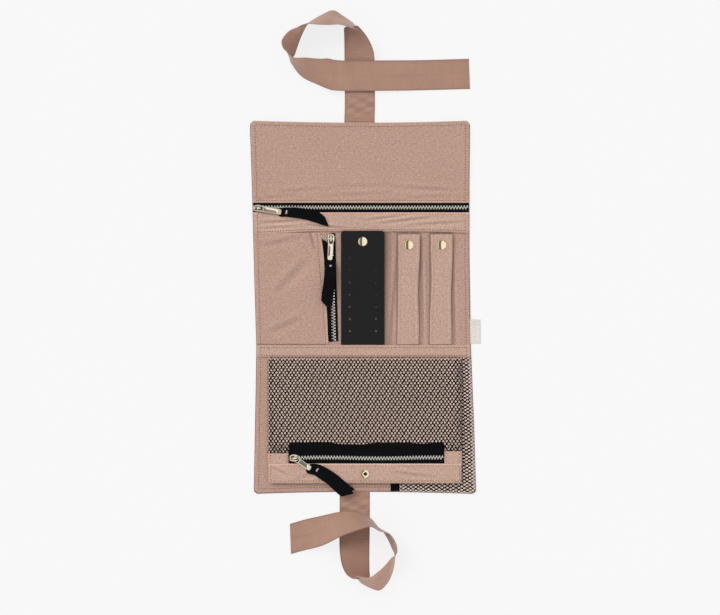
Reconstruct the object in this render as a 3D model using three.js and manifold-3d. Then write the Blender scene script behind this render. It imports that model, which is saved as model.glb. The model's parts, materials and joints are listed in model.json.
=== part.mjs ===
import * as THREE from "three";
import { mergeVertices } from "three/addons/utils/BufferGeometryUtils.js";
import Module from "manifold-3d";

// A fold-up jewelry pouch, lying open. Millimetres, +X to the right, +Y towards the top flap, +Z up.
// The origin is the middle of the middle panel, on the underside of its outer shell.

// Panels
const CASE_WIDTH = 184;
const FLAP_LENGTH = 88;
const MIDDLE_LENGTH = 106;
const BOTTOM_LENGTH = 120;
const CORNER_RADIUS = 4;
const FOLD_GAP = 0.6;

// Cloth layers
const SHELL_THICKNESS = 0.6;
const PADDING_THICKNESS = 1;
const LINING_THICKNESS = 0.5;
const FRONT_THICKNESS = 0.5;
const LAYER_GAP = 0.1;
const PIECE_GAP = 0.3;
const HEM_WIDTH = 5;

// Strip below the flap zip and band over the second fold, measured from the fold lines
const STRIP_REACH = 6.4;
const BAND_REACH = 5.2;
const BAND_THICKNESS = 1.2;

// Zips: chain of two tooth rows, tapes, slider
const CHAIN_WIDTH = 4;
const TOOTH_PITCH = 1.66;
const TOOTH_THICKNESS = 1.2;
const TOOTH_TIP = 0.55;
const TOOTH_GAP = 0.2;
const TAPE_THICKNESS = 0.4;
const TAPE_TUCK = 3;
const SLIDER_LENGTH = 9;
const SLIDER_WALL = 0.7;
const SLIDER_CLEARANCE = 0.15;
const SLIDER_SIDE_PLAY = 0.8;
const BRIDGE_LENGTH = 4.4;
const BRIDGE_WIDTH = 1.2;
const BRIDGE_WALL = 0.7;

// Zip pull and its ribbon
const PULL_LENGTH = 15;
const PULL_THICKNESS = 0.8;
const PULL_PLAY = 0.3;
const PULL_EYE_PLAY = 0.8;
const PULL_EYE_SIDE_PLAY = 1.4;
const PULL_RAIL = 0.9;
const PULL_SLOT_LENGTH = 2;
const PULL_CORNER = 0.7;
const PULL_END_BAR = 1.4;
const PULLER_LENGTH = 40;
const PULLER_WIDTH = 8.4;
const PULLER_FLARE = 9;
const PULLER_CUT = 6;
const PULLER_THICKNESS = 0.7;
const PULLER_SLACK = 0.2;

// Flap zip
const FLAP_ZIP_FROM_FOLD = 13.9;
const FLAP_ZIP_PLAY = 0.9;
const FLAP_ZIP_END_INSET = 4.5;
const FLAP_PULL_TURN = -10;

// Side pocket and its zip on the middle panel
const SIDE_ZIP_LEAN = 2.9;
const SIDE_ZIP_PLAY = 1.5;
const SIDE_ZIP_PANEL_TAPE = 3.6;
const SIDE_ZIP_PANEL_GAP = 0.4;
const SIDE_ZIP_END_GAP = 2.4;
const SIDE_PULL_TURN = -6;

// Earring panel and ring straps, sewn at the band and snapped near the fold strip, set in from the right edge
const STRAP_THICKNESS = 1;
const RING_STRAP_WIDTH = 18.5;
const RING_STRAP_MARGIN = 15.75;
const RING_STRAP_SPACE = 9;
const RING_STRAP_END_GAP = 1.6;
const RING_STRAP_CORNER = 1;
const EARRING_PANEL_SPACE = 11.4;
const EARRING_PANEL_WIDTH = 36.5;
const EARRING_PANEL_OVERLAP = 1.4;
const EARRING_PANEL_CORNER = 2.5;
const EARRING_HOLE_RADIUS = 0.9;
const EARRING_HOLE_INSET = 7.25;
const EARRING_HOLE_PITCH = 10.2;
const EARRING_FIRST_HOLE = 11.4;
const STRAP_SEAT = 0.15;

// Snaps
const SNAP_INSET = 9;
const SNAP_STANDOFF = 2.05;
const SNAP_CAP_RADIUS = 4.15;
const SNAP_CAP_HEIGHT = 1.5;
const SNAP_CAP_EDGE = 0.5;
const SNAP_SHANK_RADIUS = 1.2;
const SNAP_HOLE_PLAY = 0.4;
const SNAP_SOCKET_WALL = 1.6;
const SNAP_SOCKET_PLAY = 0.4;
const SNAP_STUD_RADIUS = 3.5;
const SNAP_STUD_FLANGE = 0.4;
const SNAP_STUD_PLAY = 0.15;
const SNAP_KNOB_RADIUS = 1.6;
const SNAP_RING_RADIUS = 3.55;
const SNAP_RING_BORE = 1.2;
const SNAP_RING_WALL = 0.5;
const SNAP_RING_PLAY = 0.3;
const SNAP_RING_HEIGHT = 0.9;
const SNAP_DOME_STEPS = 3;

// Net slip pocket on the bottom panel
const SLIP_POCKET_WIDTH = 68;
const SLIP_BINDING_WIDTH = 7.6;
const SLIP_BINDING_THICKNESS = 0.6;
const SLIP_EDGE_INSET = 1.2;
const SLIP_NET_COLUMNS = 6;
const SLIP_NET_ROWS = 13;

// Nets
const NET_THICKNESS = 0.5;
const NET_STRAND = 1.6;
const NET_BORDER = 3;

// Zipped net pouch, sewn along its upper edge over the bottom panel
const POUCH_LEFT_INSET = 13;
const POUCH_RIGHT_INSET = 8;
const POUCH_END_INSET = 9.1;
const POUCH_CORNER = 3;
const POUCH_SEAT = 0.1;
const POUCH_BACK_THICKNESS = 0.4;
const POUCH_TOOTH_CLEARANCE = 0.2;
const POUCH_NET_COLUMNS = 16;
const POUCH_NET_ROWS = 10;
const POUCH_TRIM_LENGTH = 16.8;
const POUCH_TAB_WIDTH = 16;
const POUCH_ZIP_PLAY = 1.1;
const POUCH_UPPER_TAPE = 10;
const POUCH_SLIDER_GAP = 1.5;
const POUCH_CHAIN_END_GAP = 1;
const POUCH_SNAP_INSET = 8.1;
const POUCH_PULL_TURN = -33;

// Side label, a blank folded tape in the right-hand seam
const LABEL_WIDTH = 7.5;
const LABEL_LENGTH = 20.5;
const LABEL_THICKNESS = 0.8;
const LABEL_FROM_FOLD = 6.25;

// Ribbon ties, sewn in at the ends of the case
const TIE_WIDTH = 25.4;
const TIE_THICKNESS = 0.5;
const TIE_LIFT = 0.6;
const TOP_TIE_X = -2.1;
const BOTTOM_TIE_X = -6.2;
const TIE_STEPS = 2;

// Each row is one place along the ribbon: the ribbon's lower edge (x, y from the middle of the sewn root),
// the plan direction from that edge to the other edge, the tilt of the ribbon there (degrees), and the
// height of the lower edge above where the ribbon lies on the table.
const TOP_TIE_ROUTE = [
  [-12.7, 0, 0, 0, 0.4],
  [-12.4, 11, 0, 0, 0],
  [-12.5, 38, 0, 1, 0],
  [-12.6, 52, 0, 8, 0],
  [-12.6, 63, 0, 25, 0],
  [-11.8, 73, -3, 47, 0],
  [-8, 78.5, -12, 69, 0],
  [-3.4, 80, -60, 86, 0],
  [-7, 83.3, -118, 82, 0],
  [-14.7, 88.6, -103, 72, 0],
  [-22.3, 92.2, -103, 63, 0],
  [-32.3, 88.2, -98, 74, 0],
  [-42.8, 81.6, -140, 89, 0],
  [-46.6, 75.6, 171, 78, 0],
  [-50, 68, 166, 68, 0],
  [-53, 59.6, 163, 62, 0],
  [-55, 54.2, 160, 70, 0],
  [-58.4, 50.8, 113, 83, 0],
  [-56, 45.8, 69, 74, 0],
  [-48.3, 36.5, 68, 51, 0],
  [-35, 29.8, 79, 33, 0.6],
  [-20.6, 24.4, 88, 4, 2],
  [0, 24.2, 90, 4, 2.4],
  [22, 24.4, 90, 3, 2],
  [50, 25, 91, 0, 0.2],
  [93, 26.2, 92, 0, 0],
];
const BOTTOM_TIE_ROUTE = [
  [12.8, 0, 180, 0, 0.4],
  [12.8, -13, 180, 0, 0],
  [12.6, -37, 180, 2, 0],
  [12.4, -47, 181, 12, 0],
  [12.3, -57, 182, 25, 0],
  [11.8, -65.5, 183, 41, 0],
  [8.3, -71.7, 179, 63, 0],
  [3, -74.6, 139, 86, 0],
  [8.7, -77.3, 100, 79, 0],
  [15.5, -80.4, 97, 64, 0],
  [21, -80.9, 92, 52, 0],
  [27.6, -74.8, 93, 55, 0],
  [32.3, -64.3, 96, 68, 0],
  [33.8, -52.1, 80, 88, 0],
  [31, -44.5, 12, 80, 0],
  [27.4, -37, 4, 76, 0],
  [23.4, -31, 9, 78, 0],
  [19.5, -27.4, -20, 86, 0.5],
  [13.4, -20.2, -90, 73, 1.5],
  [4.5, -15.4, -90, 59, 2.4],
  [-4.7, -13.9, -87, 46, 2.4],
  [-13.9, -15.1, -90, 34, 2],
  [-29, -18.5, -88, 18, 0.8],
  [-42.5, -21.6, -86, 2, 0.2],
  [-54.5, -25.2, -88, 0, 0],
];

// Places that follow from the sizes
const halfWidth = CASE_WIDTH / 2;
const upperFold = MIDDLE_LENGTH / 2;
const lowerFold = -MIDDLE_LENGTH / 2;
const flapEdge = upperFold + FLAP_LENGTH;
const bottomEdge = lowerFold - BOTTOM_LENGTH;
const paddingZ = SHELL_THICKNESS + LAYER_GAP;
const liningZ = paddingZ + PADDING_THICKNESS + LAYER_GAP;
const liningTop = liningZ + LINING_THICKNESS;
const onLining = liningTop + LAYER_GAP;
const zipZ = onLining + TOOTH_THICKNESS / 2;
const frontZ = zipZ + TAPE_THICKNESS / 2 + LAYER_GAP;
const frontTop = frontZ + FRONT_THICKNESS;
const flapZipY = upperFold + FLAP_ZIP_FROM_FOLD;
const sliderWidth = CHAIN_WIDTH + 2 * (SLIDER_SIDE_PLAY + SLIDER_WALL);
const bridgeOpening = PULL_THICKNESS + 2 * PULL_PLAY;
const eyeWidth = BRIDGE_WIDTH + 2 * PULL_EYE_SIDE_PLAY;
const flapWindow = sliderWidth / 2 + FLAP_ZIP_PLAY;
const sideWindow = sliderWidth / 2 + SIDE_ZIP_PLAY;
const flapTape = flapWindow + TAPE_TUCK;
const sideTape = sideWindow + TAPE_TUCK;
const stripEdge = upperFold - STRIP_REACH;
const seamY = lowerFold + BAND_REACH + PIECE_GAP;
const ringStrapLength = stripEdge - RING_STRAP_END_GAP - seamY;
const outerRingX = halfWidth - RING_STRAP_MARGIN - RING_STRAP_WIDTH / 2;
const innerRingX = outerRingX - RING_STRAP_WIDTH - RING_STRAP_SPACE;
const earringPanelLength = stripEdge + EARRING_PANEL_OVERLAP - seamY;
const earringPanelRight = innerRingX - RING_STRAP_WIDTH / 2 - EARRING_PANEL_SPACE;
const earringPanelX = earringPanelRight - EARRING_PANEL_WIDTH / 2;
const earringPanelLeft = earringPanelX - EARRING_PANEL_WIDTH / 2;
const socketHeight = SNAP_STANDOFF - 2 * LAYER_GAP - SNAP_STUD_FLANGE - SNAP_STUD_PLAY;
const knobHeight = SNAP_STANDOFF - 3 * LAYER_GAP;
const ringShank = SNAP_RING_BORE + SNAP_RING_WALL;
const slipTop = onLining + Math.max(SLIP_BINDING_THICKNESS, NET_THICKNESS);
const pouchWidth = CASE_WIDTH - POUCH_LEFT_INSET - POUCH_RIGHT_INSET;
const pouchX = (POUCH_LEFT_INSET - POUCH_RIGHT_INSET) / 2;
const pouchLength = BOTTOM_LENGTH - BAND_REACH - PIECE_GAP - POUCH_END_INSET;
const pouchZipDrop = pouchLength - POUCH_TRIM_LENGTH - POUCH_ZIP_PLAY - sliderWidth / 2;
const pouchNetLength = pouchZipDrop - POUCH_UPPER_TAPE;
const pouchSnapDrop = pouchLength - POUCH_SNAP_INSET;
const pouchSliderInset = POUCH_TAB_WIDTH + POUCH_SLIDER_GAP + SLIDER_LENGTH / 2;

// Fineness of round shapes, and how far a cut runs past the face that it opens
const segments = 2;
const roundSegments = 12;
const holeSides = 6;
const CUT_PAST = 1;

// Colours
const pinkCanvas = cloth(0xb8978a);
const pinkRibbon = cloth(0xaa8878);
const darkCanvas = cloth(0x2c2a2b);
const wadding = cloth(0xd8d4cf);
const blackTape = cloth(0x131417);
const blackNet = cloth(0x1d1b1c);
const creamTape = cloth(0xe1dcd4);
const leatherette = new THREE.MeshStandardMaterial({ color: 0x242426, roughness: 0.7, metalness: 0 });
const silver = new THREE.MeshStandardMaterial({ color: 0xc9c4ba, roughness: 0.3, metalness: 1 });
const paleGold = new THREE.MeshStandardMaterial({ color: 0xd9c08c, roughness: 0.3, metalness: 1 });

function cloth(color) {
  return new THREE.MeshStandardMaterial({ color, roughness: 0.9, metalness: 0 });
}

const wasm = await Module();
wasm.setup();

// A closed geometry as a solid that can be joined and cut.
function toSolid(geometry) {
  const bare = new THREE.BufferGeometry();
  const loose = geometry.index ? geometry.toNonIndexed() : geometry;
  bare.setAttribute("position", loose.getAttribute("position"));
  const merged = mergeVertices(bare, 1e-4);
  const vertProperties = new Float32Array(merged.getAttribute("position").array);
  const triVerts = new Uint32Array(merged.index.array);
  return new wasm.Manifold(new wasm.Mesh({ numProp: 3, vertProperties, triVerts }));
}

function toGeometry(solid) {
  const mesh = solid.getMesh();
  const geometry = new THREE.BufferGeometry();
  geometry.setAttribute("position", new THREE.BufferAttribute(mesh.vertProperties, 3));
  geometry.setIndex(new THREE.BufferAttribute(mesh.triVerts, 1));
  geometry.computeVertexNormals();
  return geometry;
}

function join(first, ...others) {
  const solids = others.map(toSolid);
  return toGeometry(solids.reduce((sum, next) => sum.add(next), toSolid(first)));
}

function cut(first, ...others) {
  const solids = others.map(toSolid);
  return toGeometry(solids.reduce((rest, next) => rest.subtract(next), toSolid(first)));
}

function block(x0, x1, y0, y1, z0, z1) {
  const geometry = new THREE.BoxGeometry(x1 - x0, y1 - y0, z1 - z0);
  return geometry.translate((x0 + x1) / 2, (y0 + y1) / 2, (z0 + z1) / 2);
}

function plate(shape, z0, z1) {
  const geometry = new THREE.ExtrudeGeometry(shape, {
    depth: z1 - z0,
    bevelEnabled: false,
    curveSegments: segments,
  });
  return geometry.translate(0, 0, z0);
}

// A rectangle in plan whose lower and upper corners are rounded, or square at radius 0.
function cornered(x0, x1, y0, y1, lowerRadius, upperRadius) {
  const shape = new THREE.Shape();
  const corners = [
    [x1, y0, -1, 1, lowerRadius, -90],
    [x1, y1, -1, -1, upperRadius, 0],
    [x0, y1, 1, -1, upperRadius, 90],
    [x0, y0, 1, 1, lowerRadius, 180],
  ];
  shape.moveTo(x0 + lowerRadius, y0);
  for (const [x, y, inX, inY, radius, start] of corners) {
    if (radius === 0) {
      shape.lineTo(x, y);
      continue;
    }
    const from = THREE.MathUtils.degToRad(start);
    shape.absarc(x + inX * radius, y + inY * radius, radius, from, from + Math.PI / 2, false);
  }
  return shape;
}

function polygon(points) {
  return new THREE.Shape(points.map(([x, y]) => new THREE.Vector2(x, y)));
}

function roundHole(x, y, radius, sides) {
  const hole = new THREE.Path();
  for (let i = 0; i < sides; i++) {
    const angle = (-2 * Math.PI * i) / sides;
    const px = x + radius * Math.cos(angle);
    const py = y + radius * Math.sin(angle);
    if (i === 0) hole.moveTo(px, py);
    else hole.lineTo(px, py);
  }
  return hole;
}

function lathe(profile) {
  const points = profile.map(([radius, height]) => new THREE.Vector2(radius, height));
  return new THREE.LatheGeometry(points, roundSegments).rotateX(Math.PI / 2);
}

function add(parent, name, geometry, material) {
  const mesh = new THREE.Mesh(geometry, material);
  mesh.name = name;
  parent.add(mesh);
  return mesh;
}

// A sheet of net in plan: a border and rows of diamond gaps, every second row set over by half a gap.
function netShape(x0, x1, y0, y1, columns, rows) {
  const shape = cornered(x0, x1, y0, y1, 0, 0);
  const cellWidth = (x1 - x0 - 2 * NET_BORDER) / columns;
  const rowStep = (y1 - y0 - 2 * NET_BORDER) / rows;
  const inner = ((cellWidth / 2) * rowStep) / Math.hypot(cellWidth / 2, rowStep);
  const share = 1 - NET_STRAND / 2 / inner;
  const reachX = (cellWidth / 2) * share;
  const reachY = rowStep * share;
  for (let row = 1; row < rows; row++) {
    const offset = row % 2 === 1 ? 0.5 : 1;
    const count = row % 2 === 1 ? columns : columns - 1;
    const y = y0 + NET_BORDER + row * rowStep;
    for (let column = 0; column < count; column++) {
      const x = x0 + NET_BORDER + (column + offset) * cellWidth;
      const hole = new THREE.Path();
      hole.moveTo(x - reachX, y);
      hole.lineTo(x, y + reachY);
      hole.lineTo(x + reachX, y);
      hole.lineTo(x, y - reachY);
      shape.holes.push(hole);
    }
  }
  return shape;
}

// Shell, padding and lining of one panel, between two Y values.
function panelLayers(parent, name, y0, y1, lowerRadius, upperRadius) {
  const outline = cornered(-halfWidth, halfWidth, y0, y1, lowerRadius, upperRadius);
  const inX = halfWidth - HEM_WIDTH;
  const low = y0 + HEM_WIDTH;
  const high = y1 - HEM_WIDTH;
  add(parent, `${name}_shell`, plate(outline, 0, SHELL_THICKNESS), darkCanvas);
  const padding = block(-inX, inX, low, high, paddingZ, paddingZ + PADDING_THICKNESS);
  add(parent, `${name}_padding`, padding, wadding);
  const roomX = inX + PIECE_GAP;
  const room = block(-roomX, roomX, low - PIECE_GAP, high + PIECE_GAP, 0, liningZ);
  add(parent, `${name}_lining`, cut(plate(outline, paddingZ, liningTop), room), pinkCanvas);
}

// Length of a chain of whole teeth.
function chainLength(chain) {
  return Math.round(chain / TOOTH_PITCH) * TOOTH_PITCH;
}

// One row of teeth on its cord. Tips of the two rows mesh half a pitch apart.
function toothRow(chain, side) {
  const count = Math.round(chain / TOOTH_PITCH);
  const root = TOOTH_TIP + TOOTH_GAP;
  const points = [
    [chainLength(chain), (side * CHAIN_WIDTH) / 2],
    [0, (side * CHAIN_WIDTH) / 2],
  ];
  for (let half = 0; half <= 2 * count; half++) {
    const tip = (half % 2 === 1) === (side > 0);
    points.push([(half * TOOTH_PITCH) / 2, tip ? -side * TOOTH_TIP : side * root]);
  }
  return plate(polygon(points), -TOOTH_THICKNESS / 2, TOOTH_THICKNESS / 2);
}

// Slider seen along the chain: a cover plate with flanges that reach down to the tapes, and a bridge on top.
const sliderPlateZ = TOOTH_THICKNESS / 2 + SLIDER_CLEARANCE;
const sliderTop = sliderPlateZ + SLIDER_WALL;
const pullZ = sliderTop + bridgeOpening / 2;

function slider() {
  const halfLength = SLIDER_LENGTH / 2;
  const outer = sliderWidth / 2;
  const inner = outer - SLIDER_WALL;
  const flangeZ = TAPE_THICKNESS / 2 + SLIDER_CLEARANCE;
  const body = cut(
    block(-halfLength, halfLength, -outer, outer, flangeZ, sliderTop),
    block(-halfLength - CUT_PAST, halfLength + CUT_PAST, -inner, inner, flangeZ - CUT_PAST, sliderPlateZ),
  );
  const reach = BRIDGE_LENGTH / 2;
  const halfBridge = BRIDGE_WIDTH / 2;
  const openingTop = sliderTop + bridgeOpening;
  const sunk = sliderTop - SLIDER_WALL / 2;
  const bridge = cut(
    block(-reach, reach, -halfBridge, halfBridge, sunk, openingTop + BRIDGE_WALL),
    block(-reach + BRIDGE_WALL, reach - BRIDGE_WALL, -BRIDGE_WIDTH, BRIDGE_WIDTH, sliderTop, openingTop),
  );
  return join(body, bridge);
}

// Flat pull whose end bar turns under the slider's bridge, with a slot for its ribbon. X runs to its end.
function pull() {
  const bar = PULL_THICKNESS / 2;
  const eye = eyeWidth / 2;
  const half = eye + PULL_RAIL;
  const eyeEnd = bar + BRIDGE_LENGTH / 2 + PULL_EYE_PLAY;
  const slotEnd = PULL_LENGTH - PULL_END_BAR;
  return cut(
    plate(cornered(-bar, PULL_LENGTH, -half, half, PULL_CORNER, PULL_CORNER), -bar, bar),
    block(bar, eyeEnd, -eye, eye, -PULL_THICKNESS, PULL_THICKNESS),
    block(slotEnd - PULL_SLOT_LENGTH, slotEnd, -eye, eye, -PULL_THICKNESS, PULL_THICKNESS),
  );
}

// Ribbon looped through the pull's slot, whose upper layer runs on and flares to a slanted cut end.
function puller() {
  const neck = eyeWidth / 2 - PULL_PLAY;
  const half = PULLER_WIDTH / 2;
  const barStart = PULL_LENGTH - PULL_END_BAR - PULLER_SLACK;
  const barEnd = PULL_LENGTH + PULLER_SLACK;
  const barHalf = PULL_THICKNESS / 2 + PULLER_SLACK;
  const end = PULL_LENGTH + PULLER_LENGTH;
  const loop = cut(
    block(barStart - PULLER_THICKNESS, barEnd + PULLER_THICKNESS, -neck, neck,
      -barHalf - PULLER_THICKNESS, barHalf + PULLER_THICKNESS),
    block(barStart, barEnd, -PULLER_WIDTH, PULLER_WIDTH, -barHalf, barHalf),
  );
  const tailStart = barEnd + PULLER_THICKNESS / 2;
  const tail = plate(
    polygon([
      [tailStart, -neck],
      [tailStart + PULLER_FLARE, -half],
      [end, -half],
      [end - PULLER_CUT, half],
      [tailStart + PULLER_FLARE, half],
      [tailStart, neck],
    ]),
    barHalf,
    barHalf + PULLER_THICKNESS,
  );
  return join(loop, tail);
}

// A closed zip along +X. Its frame's origin is the slider's middle on the tapes' middle plane.
function zip(name, { chain, lead, tail, upperTape, lowerTape, pullTurn }) {
  const group = new THREE.Group();
  const tapeInner = CHAIN_WIDTH / 2 + LAYER_GAP;
  const halfTape = TAPE_THICKNESS / 2;
  const tapes = [
    ["upper", tapeInner, upperTape],
    ["lower", -lowerTape, -tapeInner],
  ];
  for (const [label, y0, y1] of tapes) {
    const tape = block(-lead, chainLength(chain) + tail, y0, y1, -halfTape, halfTape);
    add(group, `${name}_tape_${label}`, tape, blackTape);
  }
  add(group, `${name}_teeth_upper`, toothRow(chain, 1), silver);
  add(group, `${name}_teeth_lower`, toothRow(chain, -1), silver);
  add(group, `${name}_slider`, slider(), paleGold);
  const handle = new THREE.Group();
  handle.position.z = pullZ;
  handle.rotation.z = THREE.MathUtils.degToRad(pullTurn);
  add(handle, `${name}_pull`, pull(), paleGold);
  add(handle, `${name}_puller`, puller(), blackTape);
  group.add(handle);
  return group;
}

// Snap cap with a shank that goes down through cloth of the given thickness. Z = 0 is the cloth's underside.
function snapCap(clothThickness) {
  const seat = clothThickness + LAYER_GAP;
  const rim = seat + SNAP_CAP_EDGE;
  const profile = [
    [0, LAYER_GAP],
    [SNAP_SHANK_RADIUS, LAYER_GAP],
    [SNAP_SHANK_RADIUS, seat],
    [SNAP_CAP_RADIUS, seat],
  ];
  for (let step = 0; step < SNAP_DOME_STEPS; step++) {
    const angle = (step / SNAP_DOME_STEPS) * (Math.PI / 2);
    const height = rim + (SNAP_CAP_HEIGHT - SNAP_CAP_EDGE) * Math.sin(angle);
    profile.push([SNAP_CAP_RADIUS * Math.cos(angle), height]);
  }
  profile.push([0, seat + SNAP_CAP_HEIGHT]);
  return lathe(profile);
}

// Open snap ring with a tubular shank through the front and back of the pouch.
function snapRing(clothThickness) {
  const seat = clothThickness + LAYER_GAP;
  const top = seat + SNAP_RING_HEIGHT;
  const middle = (SNAP_RING_BORE + SNAP_RING_RADIUS) / 2;
  return lathe([
    [SNAP_RING_BORE, LAYER_GAP],
    [ringShank, LAYER_GAP],
    [ringShank, seat],
    [SNAP_RING_RADIUS, seat],
    [SNAP_RING_RADIUS, (seat + top) / 2],
    [middle, top],
    [SNAP_RING_BORE, (seat + top) / 2],
    [SNAP_RING_BORE, LAYER_GAP],
  ]);
}

function snapSocket() {
  const top = -LAYER_GAP;
  const low = top - socketHeight;
  const bore = SNAP_KNOB_RADIUS + SNAP_SOCKET_PLAY;
  const outer = bore + SNAP_SOCKET_WALL;
  return lathe([
    [bore, low],
    [outer, low],
    [outer, top],
    [bore, top],
    [bore, low],
  ]);
}

function snapStud() {
  return lathe([
    [0, 0],
    [SNAP_STUD_RADIUS, 0],
    [SNAP_STUD_RADIUS, SNAP_STUD_FLANGE],
    [SNAP_KNOB_RADIUS, SNAP_STUD_FLANGE],
    [SNAP_KNOB_RADIUS, knobHeight],
    [0, knobHeight],
  ]);
}

// A strap sewn at the band, rising a little to the snap near its free end. Returns its group.
function strap(parent, name, snapName, x, width, length, corner, material, holes) {
  const snapY = length - SNAP_INSET;
  const rise = Math.atan((SNAP_STANDOFF - STRAP_SEAT) / snapY);
  const group = new THREE.Group();
  group.position.set(x, seamY, liningTop + STRAP_SEAT);
  group.rotation.x = rise;
  const shape = cornered(-width / 2, width / 2, 0, length, 0, corner);
  const shankHole = roundHole(0, snapY, SNAP_SHANK_RADIUS + SNAP_HOLE_PLAY, roundSegments);
  shape.holes.push(shankHole, ...holes);
  add(group, name, plate(shape, 0, STRAP_THICKNESS), material);
  add(group, `${snapName}_cap`, snapCap(STRAP_THICKNESS), paleGold).position.y = snapY;
  add(group, `${snapName}_socket`, snapSocket(), silver).position.y = snapY;
  parent.add(group);
  const stud = add(parent, `${snapName}_stud`, snapStud(), silver);
  stud.position.set(x, seamY + snapY * Math.cos(rise), onLining);
}

// Two columns of holes, from the sewn end up to the snap.
function earringHoles() {
  const holes = [];
  const columnX = EARRING_PANEL_WIDTH / 2 - EARRING_HOLE_INSET;
  for (let y = EARRING_FIRST_HOLE; y < earringPanelLength - SNAP_INSET; y += EARRING_HOLE_PITCH) {
    for (const x of [-columnX, columnX]) {
      holes.push(roundHole(x, y, EARRING_HOLE_RADIUS, holeSides));
    }
  }
  return holes;
}

// Top flap: pocket front above the zip, strip below it.
function topFlap(root) {
  const flap = new THREE.Group();
  const start = upperFold + FOLD_GAP / 2;
  panelLayers(flap, "flap", start, flapEdge, 0, CORNER_RADIUS);
  const frontEdge = flapZipY + flapWindow;
  const tapeTop = flapZipY + flapTape + PIECE_GAP;
  const tapeLow = flapZipY - flapTape - PIECE_GAP;
  const wide = halfWidth + CUT_PAST;
  const inX = halfWidth - HEM_WIDTH;
  const front = cut(
    plate(cornered(-halfWidth, halfWidth, frontEdge, flapEdge, 0, CORNER_RADIUS), onLining, frontTop),
    block(-inX, inX, frontEdge - CUT_PAST, flapEdge - HEM_WIDTH, 0, frontZ),
    block(-wide, wide, frontEdge - CUT_PAST, tapeTop, 0, frontZ),
  );
  add(flap, "flap_pocket_front", front, pinkCanvas);
  const stripTop = flapZipY - flapWindow;
  const strip = cut(
    block(-halfWidth, halfWidth, start, stripTop, onLining, frontTop),
    block(-wide, wide, tapeLow, stripTop + CUT_PAST, 0, frontZ),
  );
  add(flap, "flap_fold_strip", strip, pinkCanvas);
  const zipGroup = zip("flap_zip", {
    chain: CASE_WIDTH - 2 * FLAP_ZIP_END_INSET,
    lead: FLAP_ZIP_END_INSET - PIECE_GAP,
    tail: FLAP_ZIP_END_INSET - 2 * TOOTH_PITCH,
    upperTape: flapTape,
    lowerTape: flapTape,
    pullTurn: FLAP_PULL_TURN,
  });
  zipGroup.position.set(-halfWidth + FLAP_ZIP_END_INSET, flapZipY, zipZ);
  flap.add(zipGroup);
  root.add(flap);
}

// Side pocket at the left of the middle panel. Its zip leans a little off the case's length and ends
// beside the earring panel.
function sidePocket(panel) {
  const top = stripEdge - PIECE_GAP;
  const lean = THREE.MathUtils.degToRad(SIDE_ZIP_LEAN);
  const zipTop = top - SLIDER_LENGTH / 2 - PIECE_GAP;
  const chain = (zipTop - seamY) / Math.cos(lean) - TOOTH_PITCH - SIDE_ZIP_END_GAP;
  const zipGroup = zip("side_zip", {
    chain,
    lead: SLIDER_LENGTH / 2,
    tail: TOOTH_PITCH,
    upperTape: SIDE_ZIP_PANEL_TAPE,
    lowerTape: sideTape,
    pullTurn: SIDE_PULL_TURN,
  });
  const tapeEnd = chainLength(chain) + TOOTH_PITCH;
  const cornerX = tapeEnd * Math.sin(lean) + SIDE_ZIP_PANEL_TAPE * Math.cos(lean);
  const zipX = earringPanelLeft - SIDE_ZIP_PANEL_GAP - cornerX;
  zipGroup.position.set(zipX, zipTop, zipZ);
  zipGroup.rotation.z = lean - Math.PI / 2;
  panel.add(zipGroup);
  zipGroup.updateMatrix();
  const edgeX = (y) => zipX - sideWindow / Math.cos(lean) + (zipTop - y) * Math.tan(lean);
  const outline = polygon([
    [-halfWidth, seamY],
    [edgeX(seamY), seamY],
    [edgeX(top), top],
    [-halfWidth, top],
  ]);
  const tapeRoom = block(-MIDDLE_LENGTH, MIDDLE_LENGTH, -sideTape - PIECE_GAP, 0, -zipZ, frontZ - zipZ);
  tapeRoom.applyMatrix4(zipGroup.matrix);
  const front = cut(
    plate(outline, onLining, frontTop),
    block(-halfWidth + HEM_WIDTH, edgeX(top), seamY + HEM_WIDTH, top - HEM_WIDTH, 0, frontZ),
    tapeRoom,
  );
  add(panel, "side_pocket_front", front, pinkCanvas);
}

// Middle panel, which the others fold onto.
function middlePanel(root) {
  const panel = new THREE.Group();
  const low = lowerFold + FOLD_GAP / 2;
  const high = upperFold - FOLD_GAP / 2;
  panelLayers(panel, "middle", low, high, 0, 0);
  const strip = block(-halfWidth, halfWidth, stripEdge, high, onLining, frontTop);
  add(panel, "middle_fold_strip", strip, pinkCanvas);
  const bandTop = onLining + BAND_THICKNESS;
  const bandEdge = lowerFold + BAND_REACH;
  add(panel, "middle_band", block(-halfWidth, halfWidth, low, bandEdge, onLining, bandTop), pinkCanvas);
  sidePocket(panel);
  strap(panel, "earring_panel", "earring_snap", earringPanelX, EARRING_PANEL_WIDTH, earringPanelLength,
    EARRING_PANEL_CORNER, leatherette, earringHoles());
  const ringStraps = [
    ["inner_ring", innerRingX],
    ["outer_ring", outerRingX],
  ];
  for (const [name, x] of ringStraps) {
    strap(panel, `${name}_strap`, `${name}_snap`, x, RING_STRAP_WIDTH, ringStrapLength, RING_STRAP_CORNER,
      pinkCanvas, []);
  }
  const labelX = halfWidth + PIECE_GAP;
  const labelY = lowerFold + LABEL_FROM_FOLD;
  const label = block(labelX, labelX + LABEL_WIDTH, labelY, labelY + LABEL_LENGTH, paddingZ,
    paddingZ + LABEL_THICKNESS);
  add(panel, "side_label", label, creamTape);
  root.add(panel);
}

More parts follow.
